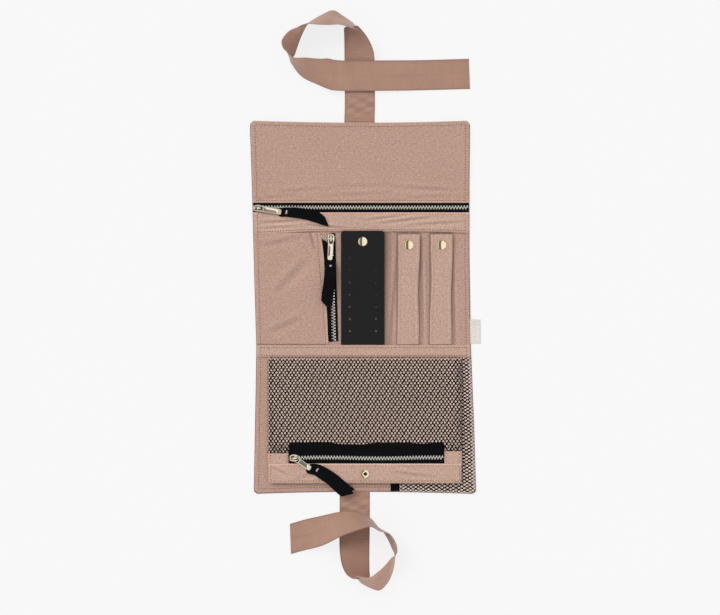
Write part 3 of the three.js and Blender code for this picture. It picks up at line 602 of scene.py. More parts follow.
def grid_faces(rows, columns, first=0, flip=False):
    """Four-sided faces of a grid of points, row by row."""
    faces = []
    for i in range(rows - 1):
        for j in range(columns - 1):
            a = first + i * columns + j
            face = [a, a + 1, a + columns + 1, a + columns]
            faces.append(face[::-1] if flip else face)
    return faces


def slab(top, bottom):
    """Points and faces of a closed sheet between two grids of points."""
    rows, columns = top.shape[:2]
    count = rows * columns
    points = np.concatenate([top.reshape(-1, 3), bottom.reshape(-1, 3)])
    faces = grid_faces(rows, columns) + grid_faces(rows, columns, count, flip=True)
    rim = list(range(columns))
    rim += [i * columns + columns - 1 for i in range(1, rows)]
    rim += [(rows - 1) * columns + j for j in range(columns - 2, -1, -1)]
    rim += [i * columns for i in range(rows - 2, 0, -1)]
    for a, b in zip(rim, rim[1:] + rim[:1]):
        faces.append([b, a, a + count, b + count])
    return points, faces


def rolled(distance, radius=ROLL):
    """Height share of an edge that is turned over: 0 at the edge, 1 once past the radius."""
    near = np.clip(distance / radius, 0, 1)
    return np.sqrt(1 - (1 - near) ** 2)


def bell(distance, width):
    """1 at no distance, and next to nothing beyond about two widths."""
    return np.exp(-((distance / width) ** 2))


def rounding(distance, radius):
    """How far a round corner draws an edge in, at a distance from the piece's end."""
    near = np.clip(radius - distance, 0, radius)
    return radius - np.sqrt(radius**2 - near**2)


def constant(value):
    return lambda x, y: np.full(np.shape(x), float(value))


def cloth(name, sides, low, high, top, bottom, material, turned="LRDU", seam=0.0, place=None, roll=ROLL,
          step=CLOTH_STEP, shade=None, pale="", more_rows=()):
    """A sheet of cloth between rows low and high, with the edges in turned rolled over.
    seam is where top and bottom meet at those edges: 0 at the bottom, 1 at the top.
    shade tells how much darker the cloth is painted at a place, and pale edges get a painted highlight.
    place takes its points to where they lie, and more_rows are rows it has besides its own."""
    rows = np.union1d(low + spaced(high - low, step), more_rows)
    left, right = (np.broadcast_to(side, rows.shape) for side in sides(rows))
    width = float(np.mean(right - left))
    share = spaced(width, step) / width
    x = left[:, None] + (right - left)[:, None] * share
    y = np.repeat(rows[:, None], len(share), axis=1)
    edges = {"L": x - left[:, None], "R": right[:, None] - x, "D": y - low, "U": high - y}
    near = np.full(x.shape, np.inf)
    for letter in turned:
        near = np.minimum(near, edges[letter])
    over, under = top(x, y), bottom(x, y)
    meet = under + (over - under) * seam
    share = rolled(near, roll)
    upper = np.stack([x, y, meet + (over - meet) * share], axis=-1)
    lower = np.stack([x, y, meet - (meet - under) * share], axis=-1)
    darker = np.zeros(x.shape) if shade is None else shade(x, y)
    # painted highlight along the turned edges named in pale
    for letter in pale:
        darker = darker - EDGE_HIGHLIGHT * bell(edges[letter], EDGE_HIGHLIGHT_WIDTH)
    points, faces = slab(upper, lower)
    flat = points[:, :2].copy()
    if place is not None:
        points = place(points)
    return make(name, points, faces, material, flat, 50, painted_shading_layer(darker))


def painted_shading_layer(darker):
    """The painted shade and light of a sheet's upper points, for its upper and lower points."""
    both = np.concatenate([darker.ravel(), darker.ravel()])
    return np.stack([both, np.zeros(both.shape)], -1)


def stray(points):
    """The case isn't quite straight when it lies open: moves points of its cloth in plan."""
    x, y, z = np.array(points, float).T
    to_left = np.clip((-x - STRAY_FROM_LEFT) / (half_width - STRAY_FROM_LEFT), 0, 1)
    to_right = np.clip((x - STRAY_FROM_RIGHT) / (half_width - STRAY_FROM_RIGHT), 0, 1)
    moved = x + to_left * np.interp(y, EDGE_ROWS, LEFT_STRAY)
    moved = moved + to_right * np.interp(y, EDGE_ROWS, RIGHT_STRAY)
    up_flap = np.clip((y - strip_high) / (case_high[1] - strip_high), 0, 1)
    down_panel = np.clip((band_low - y) / (band_low - case_low[1]), 0, 1)
    bow = BOTTOM_RISE * down_panel**2 - TOP_SAG * up_flap**2
    return np.stack([moved, y + bow * (1 - (x / half_width) ** 2), z], axis=-1)


def ripple(x, y, waves):
    """Shallow waves in cloth: each is (height, length, direction in degrees, start)."""
    total = np.zeros(np.shape(x))
    for height, length, direction, start in waves:
        turn = math.radians(direction)
        run = x * math.cos(turn) + y * math.sin(turn)
        total += height * np.sin(2 * math.pi * run / length + start)
    return total


def beside(x, y, lines):
    """For each crease line (from x, y to x, y, with a depth and a width): its depth, which fades out
    towards its ends, and how many widths each place lies off it."""
    for x0, y0, x1, y1, depth, width in lines:
        length = math.hypot(x1 - x0, y1 - y0)
        u, v = (x1 - x0) / length, (y1 - y0) / length
        along = ((x - x0) * u + (y - y0) * v) / length
        off = ((y - y0) * u - (x - x0) * v) / width
        yield depth * np.clip(1 - (2 * along - 1) ** 2, 0, 1), off


def creases(x, y, lines):
    """Height of creased cloth: each crease is a groove with a raised edge beside it."""
    return sum(depth * off * np.exp(-(off**2)) for depth, off in beside(x, y, lines))


def crease_shade(x, y, lines):
    """Painted shade of creased cloth: dark on the slope between a crease's edge and its groove."""
    slopes = (depth * (1 - 2 * off**2) * np.exp(-(off**2)) for depth, off in beside(x, y, lines))
    return CREASE_SHADE * sum(slopes)


# painted shade along the given crease lines
def shaded_by(lines):
    return lambda x, y: crease_shade(x, y, lines)


def ring_faces(rings, sides, closed=True):
    """Faces between rings of points that follow each other, and over both ends where closed."""
    faces = []
    for i in range(rings - 1):
        for j in range(sides):
            k = (j + 1) % sides
            faces.append([i * sides + j, i * sides + k, (i + 1) * sides + k, (i + 1) * sides + j])
    if closed:
        faces.append(list(range(sides)))
        faces.append(list(range((rings - 1) * sides, rings * sides)))
    return faces


def lathe(profile, sides=40):
    """Points and faces of a turned piece: profile is (radius, height), from axis to axis or closed."""
    turns = np.linspace(0, 2 * math.pi, sides, endpoint=False)
    rings = [[(r * math.cos(t), r * math.sin(t), z) for t in turns] for r, z in profile]
    return np.array(rings).reshape(-1, 3), ring_faces(len(profile), sides, closed=False)


def rounded_outline(low, high, radius, steps=6, low_radius=None):
    """A rectangle with round corners, anticlockwise."""
    points = []
    upper, lower = radius, low_radius or radius
    corners = ((high[0], high[1], 0, upper), (low[0], high[1], 90, upper),
               (low[0], low[1], 180, lower), (high[0], low[1], 270, lower))
    for x, y, first, radius in corners:
        cx = x - math.copysign(radius, x - (low[0] + high[0]) / 2)
        cy = y - math.copysign(radius, y - (low[1] + high[1]) / 2)
        for i in range(steps + 1):
            turn = math.radians(first + 90 * i / steps)
            points.append((cx + radius * math.cos(turn), cy + radius * math.sin(turn)))
    return points


def circle(x, y, radius, sides=20):
    turns = np.linspace(0, 2 * math.pi, sides, endpoint=False)
    return [(x + radius * math.cos(t), y + radius * math.sin(t)) for t in turns]


def plate(name, outlines, bottom, top, bevel, material, matrix):
    """A flat plate with softened edges: the first outline is its edge, the others are holes."""
    curve = bpy.data.curves.new(name, "CURVE")
    curve.dimensions = "2D"
    curve.fill_mode = "BOTH"
    curve.extrude = (top - bottom) / 2 - bevel
    curve.bevel_depth = bevel
    curve.bevel_resolution = 2
    curve.offset = -bevel
    for outline in outlines:
        spline = curve.splines.new("POLY")
        spline.points.add(len(outline) - 1)
        for point, (x, y) in zip(spline.points, outline):
            point.co = (x, y, 0, 1)
        spline.use_cyclic_u = True
    drawn = bpy.data.objects.new(name, curve)
    bpy.context.scene.collection.objects.link(drawn)
    shape = drawn.evaluated_get(bpy.context.evaluated_depsgraph_get()).to_mesh()
    points = np.array([v.co for v in shape.vertices]) + (0, 0, (top + bottom) / 2)
    faces = [list(p.vertices) for p in shape.polygons]
    bpy.data.objects.remove(drawn)
    bpy.data.curves.remove(curve)
    return make(name, placed(points, matrix), faces, material, points[:, :2], sharp=12)


def bar(path, width, thickness, soft=0.3):
    """Points and faces of a flat bar bent along a path of (along, up) places, with softened edges."""
    path = np.array(path, float)
    run = np.gradient(path, axis=0)
    run /= np.linalg.norm(run, axis=1)[:, None]
    normal = np.stack([-run[:, 1], run[:, 0]], axis=-1)
    half, deep = width / 2, thickness / 2
    section = [(half, deep - soft), (half - soft, deep), (soft - half, deep), (-half, deep - soft)]
    section += [(-w, -d) for w, d in section]
    points = []
    for place, up in zip(path, normal):
        points += [(place[0] + up[0] * d, w, place[1] + up[1] * d) for w, d in section]
    return np.array(points), ring_faces(len(path), len(section))


# Materials
def add_node(tree, kind, inputs=None, **settings):
    """A shader node with its settings. Its inputs are linked to sockets or set to values."""
    made = tree.nodes.new("ShaderNode" + kind)
    for name, value in settings.items():
        setattr(made, name, value)
    for name, value in (inputs or {}).items():
        if isinstance(value, bpy.types.NodeSocket):
            tree.links.new(value, made.inputs[name])
        else:
            made.inputs[name].default_value = value
    return made


class Paint:
    """A material, and short ways to add nodes to it."""

    def __init__(self, name, roughness, sockets=None):
        self.material = bpy.data.materials.new(name)
        self.material.use_nodes = True
        self.tree = self.material.node_tree
        self.surface = self.tree.nodes["Principled BSDF"]
        self.surface.inputs["Roughness"].default_value = roughness
        for socket, value in (sockets or {}).items():
            self.surface.inputs[socket].default_value = value

    def node(self, kind, inputs=None, **settings):
        return add_node(self.tree, kind, inputs, **settings)

    def combine(self, operation, a, b):
        return self.node("Math", {0: a, 1: b}, operation=operation).outputs[0]

    def flat(self, stretch=(1, 1, 1), turn=0):
        """The place on the flat cloth, in mm."""
        layer = self.node("UVMap", uv_map="flat").outputs["UV"]
        inputs = {"Vector": layer, "Scale": stretch, "Rotation": (0, 0, math.radians(turn))}
        return self.node("Mapping", inputs).outputs["Vector"]

    def solid(self, stretch=(1, 1, 1)):
        """The place in space, in mm."""
        there = self.node("TexCoord").outputs["Object"]
        scale = tuple(share / MM for share in stretch)
        return self.node("Mapping", {"Vector": there, "Scale": scale}).outputs["Vector"]

    def worn(self):
        """Painted shade and light: how much darker the cloth is painted here, and lighter below 0."""
        layer = self.node("UVMap", uv_map="worn").outputs["UV"]
        return self.node("SeparateXYZ", {0: layer}).outputs["X"]

    def noise(self, where, size, detail=3):
        """Soft spots about size mm across."""
        return self.node("TexNoise", {"Vector": where, "Scale": 1 / size, "Detail": detail}).outputs[0]

    def wave(self, where, pitch, direction="X"):
        inputs = {"Vector": where, "Scale": WAVE_TURN / pitch}
        return self.node("TexWave", inputs, bands_direction=direction).outputs["Fac"]

    def total(self, terms, base=0.5):
        """base, plus each (socket, weight) times how far the socket is from a half."""
        value = base - sum(weight for _, weight in terms) / 2
        for socket, weight in terms:
            value = self.node("Math", {0: socket, 1: weight, 2: value}, operation="MULTIPLY_ADD").outputs[0]
        return value

    def mix(self, factor, first, second):
        return self.node("Mix", {0: factor, 6: first, 7: second}, data_type="RGBA").outputs[2]

    def tint(self, color, dark, light, factor, pale=None):
        """The colour, times dark where factor is 0 and times light where it is 1, and on to pale at 2."""
        base = linear(color)
        mixed = self.mix(factor, scaled(base, dark), scaled(base, light))
        if pale:
            mixed = self.mix(self.combine("SUBTRACT", factor, 1.0), mixed, pale)
        self.tree.links.new(mixed, self.surface.inputs["Base Color"])

    def rough(self, socket, low, high):
        inputs = {"Value": socket, "To Min": low, "To Max": high}
        made = self.node("MapRange", inputs).outputs[0]
        self.tree.links.new(made, self.surface.inputs["Roughness"])

    def bump(self, height, depth, strength=1.0):
        inputs = {"Height": height, "Distance": depth * MM, "Strength": strength}
        made = self.node("Bump", inputs).outputs["Normal"]
        self.tree.links.new(made, self.surface.inputs["Normal"])


def canvas(name, color, pitch=0.62, contrast=1.0, pale=None):
    """Plain-weave cotton canvas with slubs and soft mottling. pale is its colour where it is palest."""
    paint = Paint(name, 0.93, {"Sheen Weight": 0.12, "Sheen Roughness": 0.7, "Specular IOR Level": 0.2})
    warp, weft = paint.flat((0.4, 1.0, 1)), paint.flat((1.0, 0.4, 1))
    flat = paint.flat()
    weave = paint.combine("MULTIPLY", paint.wave(flat, pitch), paint.wave(flat, pitch, "Y"))
    slub_u = paint.noise(warp, 1.0)
    slub_v = paint.noise(weft, 1.0)
    grain = paint.noise(flat, 1.15, 3)
    cloud = paint.noise(flat, 26, 2)
    terms = [(weave, 0.3), (slub_u, 0.8), (slub_v, 0.7), (grain, 1.3), (cloud, 0.15)]
    # painted shade and painted light from the mesh: darker in creases and beside straps, lighter along
    # edges and under the slip net
    shade = paint.combine("SUBTRACT", paint.total(terms), paint.worn())
    spread = CANVAS_SPREAD * contrast
    paint.tint(color, 1 - spread, 1 + spread, shade, pale and linear(pale))
    paint.bump(paint.total([(weave, 0.8), (slub_u, 0.7), (slub_v, 0.7), (grain, 0.5)]), 0.2, 0.9)
    return paint.material


def grosgrain(name, color):
    """Ribbon with fine ribs across it and woven edges."""
    paint = Paint(name, 0.62, {"Sheen Weight": 0.25, "Sheen Roughness": 0.45, "Specular IOR Level": 0.35})
    flat = paint.flat()
    ribs = paint.wave(flat, 1.25, "Y")
    threads = paint.noise(paint.flat((0.9, 0.6, 1)), 1.0, 2)
    cloud = paint.noise(paint.flat((0.4, 1, 1)), 9, 2)
    edges = paint.wave(flat, TIE_WIDTH, "X")
    edge = paint.node("MapRange", {"Value": edges, "From Max": 0.035}).outputs[0]
    terms = [(ribs, 0.35), (threads, 0.9), (cloud, 0.5), (edge, 0.6)]
    # painted shade and painted light from the ribbon's mesh, on to a paler copy of its colour
    shade = paint.combine("SUBTRACT", paint.total(terms, 0.24), paint.worn())
    paint.tint(color, 0.78, 1.18, shade, scaled(linear(color), 1.58))
    paint.bump(paint.total([(ribs, 1.0), (threads, 0.3)]), 0.12, 0.7)
    return paint.material


def tape_weave(name, color):
    """Black zip tape in a herringbone weave."""
    paint = Paint(name, 0.85, {"Specular IOR Level": 0.1})
    left, right = (paint.wave(paint.flat(turn=turn), 0.7) for turn in (45, -45))
    stripe = paint.wave(paint.flat(), 2.4, "Y")
    side = paint.combine("GREATER_THAN", stripe, 0.5)
    weave = paint.node("Mix", {0: side, 2: left, 3: right}).outputs[0]
    fuzz = paint.noise(paint.flat(), 0.8)
    paint.tint(color, 0.6, 1.9, paint.total([(weave, 0.5), (fuzz, 0.7)], 0.4))
    paint.bump(paint.total([(weave, 1.0), (fuzz, 0.4)]), 0.12, 0.8)
    return paint.material


def thread(name, color, shade=0.25):
    """Twisted sewing thread or knitted strand."""
    paint = Paint(name, 0.85, {"Specular IOR Level": 0.12})
    twist = paint.wave(paint.solid((1, 1, 0.2)), 0.45)
    spots = paint.noise(paint.solid(), 1.4)
    paint.tint(color, 1 - shade, 1 + shade, paint.total([(twist, 0.4), (spots, 0.9)]))
    paint.bump(twist, 0.05, 0.6)
    return paint.material


def leatherette(name, color):
    """Smooth black leatherette with a fine pebbled grain."""
    paint = Paint(name, 0.5, {"Specular IOR Level": 0.25})
    flat = paint.flat()
    cells = paint.node("TexVoronoi", {"Vector": flat, "Scale": 1.4}).outputs["Distance"]
    fine = paint.noise(flat, 0.5)
    cloud = paint.noise(flat, 18, 2)
    paint.tint(color, 0.75, 1.25, paint.total([(cells, 0.4), (cloud, 0.6), (fine, 0.4)]))
    paint.rough(cloud, 0.46, 0.6)
    paint.bump(paint.total([(cells, -0.8), (fine, 0.4)]), 0.1, 0.6)
    return paint.material


def metal(name, color, low, high):
    """Plated metal with faint brushing and small rubbed spots."""
    paint = Paint(name, low, {"Metallic": 1.0})
    rubbed = paint.noise(paint.solid(), 2.4, 3)
    brushed = paint.noise(paint.solid((0.3, 6, 1)), 0.7, 2)
    paint.tint(color, 0.93, 1.03, paint.total([(rubbed, 0.9), (brushed, 0.3)]))
    paint.rough(rubbed, low, high)
    return paint.material


pink_canvas = canvas("pink_canvas", PINK, pale=PAINTED_LIGHT_PINK)
raised_canvas = canvas("raised_canvas", RAISED_PINK)
net_back_lit_canvas = canvas("net_back_lit_canvas", NET_BACK_LIT_PINK)
shell_canvas = canvas("shell_canvas", SHELL_GREY, contrast=1.3)
label_cotton = canvas("label_cotton", LABEL_CREAM, pitch=0.5, contrast=0.5)
pink_ribbon = grosgrain("pink_ribbon", RIBBON_PINK)
black_tape = tape_weave("black_tape", TAPE_BLACK)
black_net = thread("black_net", NET_BLACK, 0.4)
pink_thread = thread("pink_thread", SHADED_THREAD)
black_leather = leatherette("black_leather", LEATHER_BLACK)
gold_metal = metal("gold_metal", GOLD, 0.05, 0.1)
painted_shade_metal = metal("painted_shade_metal", PAINTED_SHADE_METAL, 0.3, 0.45)
champagne_metal = metal("champagne_metal", CHAMPAGNE, 0.08, 0.16)
silver_metal = metal("silver_metal", SILVER, 0.16, 0.24)

# Places that follow from the frame
case_low = node_box("bottom_shell")[0]
case_high = node_box("flap_shell")[1]
half_width = case_high[0]
lining_top = node_box("middle_lining")[1][2]
front_top = node_box("flap_pocket_front")[1][2]
front_low = node_box("flap_pocket_front")[0][1]
strip_low = node_box("middle_fold_strip")[0][1]
strip_high = node_box("flap_fold_strip")[1][1] + STRIP_RISE
band_low = node_box("bottom_band")[0][1]
band_high, band_top = node_box("middle_band")[1][1:]
upper_fold = joint("flap_fold")["pos_m"][1] / MM
pouch_low, pouch_high = node_box("pouch_back")
pouch_half = (pouch_high[0] - pouch_low[0]) / 2
pouch_length = pouch_high[1] - pouch_low[1]
bar_top = -pouch_length + BAR_HEIGHT
tab_ends = pouch_low[0] + TAB_WIDTHS[0] + TAPE_CLEAR, pouch_high[0] - TAB_WIDTHS[1] - TAPE_CLEAR
tape_ends = {"flap_zip": np.array(FLAP_TAPE_ENDS), "pouch_zip": np.array(tab_ends)}

upper_hidden = (strip_low + SEAM_HIDDEN, 2 * upper_fold - strip_low - SEAM_HIDDEN)
lower_hidden = (band_low + SEAM_HIDDEN, band_high - SEAM_HIDDEN)
on_lining = constant(lining_top + LAYER_GAP)
upper_bend = ("flap_fold", *upper_hidden)
lower_bend = ("bottom_fold", *lower_hidden[::-1])


def dress(piece, slot, body=None, fold=None, nodes=()):
    """Attaches a piece to its body or bakes it where it lies on a fold, and hides its nodes. slot is not
    used.
    """
    if fold is None:
        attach(piece, body)
    else:
        joint_name, start, end = fold
        bend = joint(joint_name)
        first, second = bend["parent"], bend["child"]
        if bend["axis"][0] < 0:
            # a half turn goes about +x, so the fold's sides and ends are swapped, though nothing after
            # reads them
            first, second, start, end = second, first, end, start
        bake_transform(piece)
    if nodes:
        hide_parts(*nodes)
    return piece


# Outer shell and lining
def case_sides(inset, low=None, high=None):
    """Left and right edges of the case, with round corners where a panel ends."""
    def sides(rows):
        corner = np.zeros(rows.shape)
        for end, step in ((low, 1), (high, -1)):
            if end is not None:
                corner = np.maximum(corner, rounding((rows - end) * step, CORNER))
        edge = half_width - inset
        return -edge + corner, edge - corner
    return sides


def shell_part(name, sides, rows, turned, fold, bend, nodes):
    """One half of the shell, with more rows where it lies at its fold."""
    fold_at = joint(fold)["pos_m"][1] / MM
    piece = cloth(name, sides, *rows, constant(SHELL_TOP), constant(0), shell_canvas, turned=turned,
                  seam=0.5, place=stray, roll=0.6, more_rows=fold_at + FOLD_ROWS)
    dress(piece, "shell_canvas", fold=(fold, fold_at - bend, fold_at + bend), nodes=nodes)


def shell():
    low, high = case_low[1] - SHELL_PROUD, case_high[1] - LINING_INSET - SHELL_TUCK
    shell_part("shell_upper", case_sides(-SHELL_PROUD, high=high), (0, high), "LRU", "flap_fold",
               SHELL_BEND, ("flap_shell", "middle_shell"))
    shell_part("shell_lower", case_sides(-SHELL_PROUD, low=low), (low, 0), "LRD", "bottom_fold",
               -SHELL_BEND, ("bottom_shell",))


def middle_height(x, y):
    return lining_top + ripple(x, y, MIDDLE_WAVES) * (x > 0) + creases(x, y, MIDDLE_CREASES)


# Painted shade on the middle lining: darker in its creases, and beside the earring panel and straps that
# shade it
def middle_shade(x, y):
    shade = crease_shade(x, y, MIDDLE_CREASES)
    for node, side, depth, reach in STRAP_SHADES:
        out = (x - node_box(node)[side][0]) * (1 if side else -1)
        shade = shade + depth * bell(np.clip(out, 0, None), reach) * (np.abs(out) < STRAP_SHADE_END)
    return shade


def bottom_height(x, y):
    return lining_top + ripple(x, y, BOTTOM_WAVES) * BOTTOM_CALM


def bottom_shade(x, y):
    """Painted light: the lining is painted lighter under the slip pocket's net, against the net's shade."""
    edge = np.mean([end[0] for end in node_box("slip_pocket_binding")])
    return np.where(x > edge, -SLIP_PAINTED_LIGHT, 0.0)


def sewn(piece, width, length, rests_on, body=None, fold=None, nodes=()):
    """Carries a piece of the lining's cloth with its body, or bakes it where it lies on a fold."""
    dress(piece, "lining_canvas", body, fold, nodes)


def lining_part(name, sides, rows, over, rests_on, turned="LR", step=CLOTH_STEP, shade=None, **carried):
    under = constant(SHELL_TOP + LAYER_GAP)
    piece = cloth(name, sides, *rows, over, under, pink_canvas, turned=turned, place=stray, step=step,
                  shade=shade)
    sewn(piece, 2 * (half_width - LINING_INSET), rows[1] - rows[0], rests_on, **carried)


def lining():
    """The lining over each panel, and the two strips of it that lie at the folds."""
    low, high = case_low[1] + LINING_INSET, case_high[1] - LINING_INSET
    sides = case_sides(LINING_INSET)
    level = constant(lining_top)
    lining_part("flap_lining", case_sides(LINING_INSET, high=high), (upper_hidden[1], high), level,
                "flap_shell", "LRU", body="top_flap", nodes=("flap_lining", "flap_padding"))
    lining_part("upper_fold_lining", sides, upper_hidden, level, "middle_shell", fold=upper_bend)
    lining_part("middle_lining", sides, (lower_hidden[1], upper_hidden[0]), middle_height, "middle_shell",
                step=1.2, shade=middle_shade, body="middle_panel",
                nodes=("middle_lining", "middle_padding"))
    lining_part("lower_fold_lining", sides, lower_hidden, level, "middle_shell", fold=lower_bend)
    lining_part("bottom_lining", case_sides(LINING_INSET, low=low), (low, lower_hidden[0]), bottom_height,
                "bottom_shell", "LRD", shade=bottom_shade, body="bottom_panel",
                nodes=("bottom_lining", "bottom_padding"))


# Fronts, strip and band that are sewn onto the lining
def front_height(x, y):
    """The flap front lies slack, with shallow creases along the zip."""
    wave = ripple(x, y, FRONT_WAVES) * np.clip((y - front_low) / FRONT_FADE, 0, 1)
    return front_top + wave + creases(x, y, FRONT_CREASES)


def strip_height(x, y):
    """The strip has soft creases that run across the case."""
    inside = np.clip(np.minimum(y - strip_low, strip_high - y) / STRIP_FADE, 0, 1)
    return front_top + creases(x, y, STRIP_CREASES) * inside + ripple(x, y, STRIP_WAVES)


def strip_edge(points):
    """The strip's lower edge wavers a little, then the whole strays with the case."""
    moved = np.array(points, float)
    x = moved[:, 0]
    near = np.clip(1 - (moved[:, 1] - strip_low) / STRIP_EDGE_REACH, 0, 1)
    sink = STRIP_SINK * np.clip((-x - STRIP_SINK_FROM) / STRIP_SINK_OVER, 0, 1)
    waver = sum(size * np.cos(x / length + start) for size, length, start in STRIP_EDGE_WAVES)
    moved[:, 1] += near * (waver - sink)
    return stray(moved)


def flap_front():
    high = case_high[1] - LINING_INSET
    piece = cloth("flap_pocket_front", case_sides(LINING_INSET, high=high), front_low, high, front_height,
                  on_lining, pink_canvas, place=stray, step=1.6, shade=shaded_by(FRONT_CREASES), pale="D")
    sewn(piece, 2 * half_width, high - front_low, "flap_lining", "top_flap", nodes=("flap_pocket_front",))


def fold_strip():
    piece = cloth("fold_strip", case_sides(LINING_INSET), strip_low, strip_high, strip_height, on_lining,
                  raised_canvas, place=strip_edge, step=1.2, shade=shaded_by(STRIP_CREASES), pale="U")
    sewn(piece, 2 * half_width, strip_high - strip_low, "middle_lining", fold=upper_bend,
         nodes=("flap_fold_strip", "middle_fold_strip"))


def band_height(x, y):
    return band_top + ripple(x, y, BAND_WAVES)


def seam_band():
    piece = cloth("seam_band", case_sides(LINING_INSET), band_low, band_high, band_height, on_lining,
                  raised_canvas, place=stray)
    sewn(piece, 2 * half_width, band_high - band_low, "middle_lining", fold=lower_bend,
         nodes=("middle_band", "bottom_band"))


def dart(x, y):
    """How far each place lies to the right of the pocket's dart, and how open the dart is there."""
    share = np.clip((DART_TOP[1] - y) / (DART_TOP[1] - DART_FOOT[1]), 0, 1)
    return x - DART_TOP[0] - share * (DART_FOOT[0] - DART_TOP[0]), 1 - share


def pocket_height(x, y):
    """The side pocket lies slack, with a folded dart at its upper right corner."""
    past, open_share = dart(x, y)
    groove = DART_DEPTH * bell(past, DART_WIDTH)
    rise = np.clip(past / DART_FOLD_START, 0, 1)
    fold = DART_FOLD * rise * np.clip(1 - (past - 1) / DART_FOLD_LENGTH, 0, 1)
    slack = ripple(x, y, POCKET_WAVES) + creases(x, y, POCKET_CREASES)
    return front_top + slack + open_share * fold - np.sqrt(open_share) * groove


# Painted shade in the pocket's creases and its dart's groove, and painted light along the dart's fold
def pocket_shade(x, y):
    past, open_share = dart(x, y)
    line = bell(past, 1.0) - DART_LIGHT * bell(past - DART_LIGHT_PLACE, DART_LIGHT_WIDTH)
    return crease_shade(x, y, POCKET_CREASES) + DART_SHADE * np.sqrt(open_share) * line


def pocket_sides(rows):
    """The pocket's right edge runs along the side zip and leaves its tape in view."""
    chain = zips["side_zip"]["chain"]
    centre = chain[0, 3] + (rows - chain[1, 3]) * chain[0, 0] / chain[1, 0]
    share = (rows - band_high) / (strip_low - band_high)
    flare = WINDOW_FLARE * np.exp((rows - strip_low) / WINDOW_FLARE_LENGTH)
    window = WINDOW_LOW + (WINDOW_HIGH - WINDOW_LOW) * share + flare
    return np.full(rows.shape, -half_width + LINING_INSET), centre - window


def side_pocket():
    low, high = (end[1] for end in node_box("side_pocket_front"))
    piece = cloth("side_pocket_front", pocket_sides, low, high + SEAM_HIDDEN, pocket_height, on_lining,
                  pink_canvas, place=stray, step=0.9, shade=pocket_shade, pale="R")
    left, right = pocket_sides(np.array((low, high)))
    sewn(piece, float(np.mean(right - left)), high - low, "middle_lining", "middle_panel",
         nodes=("side_pocket_front",))


# Zips
def zip_frames(name):
    """The chain's frame (along, across, up from the slider's start) and the pull's, from the joints."""
    slide, tip = joint(f"{name}_slide"), joint(f"{name}_pull_tip")
    reach = max(slide["range_m"], key=abs)
    along = unit(slide["axis"]) * math.copysign(1, reach)
    turn = unit(tip["axis"])
    up = unit(np.cross(along, turn))
    pivot = np.array(tip["pos_m"]) / MM
    chain = axes(pivot - up * PULL_RISE, along, np.cross(up, along), up)
    pull = axes(pivot, np.cross(turn, up), turn, up)
    return {"chain": chain, "pull": pull}


def tooth(side):
    """One tooth of a row, with softened ends."""
    points = []
    for place, size in TOOTH_RINGS:
        for across, up in TOOTH_SECTION:
            kept = TOOTH_MIDDLE + (across - TOOTH_MIDDLE) * size
            points.append((place * TOOTH_LENGTH, side * kept, up * size))
    return np.array(points), ring_faces(len(TOOTH_RINGS), len(TOOTH_SECTION))


def open_start(rows):
    """Where the side zip's left tape starts: it is turned aside above the slider."""
    return OPEN_START[0] + OPEN_TAPE + (np.abs(rows) + OPEN_START[1]) * OPEN_STEP[0] / -OPEN_STEP[1]


def open_teeth(pile, shape, chain):
    """The side zip's last few teeth, parted from the other row above the slider."""
    points, faces = shape
    run = unit(OPEN_STEP)
    for k in range(OPEN_TEETH):
        x, y = OPEN_START + k * OPEN_STEP
        turned = np.stack([x - points[:, 0] * run[0] - points[:, 1] * run[1],
                           y - points[:, 0] * run[1] + points[:, 1] * run[0], points[:, 2]], -1)
        pile.add(placed(turned, chain), faces)


def zip_row(name, side, label, carrier, bend):
    """One half of a zip: its tape with a corded edge, and its row of teeth."""
    chain = zips[name]["chain"]
    origin, along, across = chain[:3, 3], chain[:3, 0], chain[:3, 1]
    teeth_node, tape_node = f"{name}_teeth_{label}", f"{name}_tape_{label}"
    first, last = span(teeth_node, origin, along)
    left, right = span(tape_node, origin, along)
    if name in tape_ends:
        left, right = tape_ends[name] - origin[0]
    if name == "flap_zip":
        last = right
    parted = name == "side_zip" and side < 0
    pile = Pile()
    points, faces = tooth(side)
    # the two rows lie half a pitch apart
    shift = 0.75 if side > 0 else 0.25
    for i in range(round((last - first) / TOOTH_PITCH)):
        at = first + (i + shift) * TOOTH_PITCH
        pile.add(placed(bend(points + (at, 0, 0)), chain), faces)
    if parted:
        open_teeth(pile, (points, faces), chain)
    teeth = pile.piece(teeth_node, silver_metal)
    dress(teeth, "tooth_metal", carrier, nodes=(teeth_node,))
    reach = max(abs(value) for value in span(tape_node, origin, across))
    low, high = sorted((side * TAPE_INNER, side * reach))

    def top(x, y):
        cord = np.clip(1 - np.abs(np.abs(y) - TAPE_CORD) / TAPE_CORD_WIDTH, 0, 1)
        return TAPE_HALF + TAPE_CORD_RISE * np.sqrt(cord) + ripple(x, y, ((*TAPE_WAVE, side),))

    def sides(rows):
        return (np.maximum(open_start(rows), left) if parted else left), right

    tape = cloth(tape_node, sides, low, high, top, constant(-TAPE_HALF), black_tape, seam=0.5,
                 place=lambda p: placed(bend(p), chain), roll=0.3)
    dress(tape, "black_tape", carrier, nodes=(tape_node,))


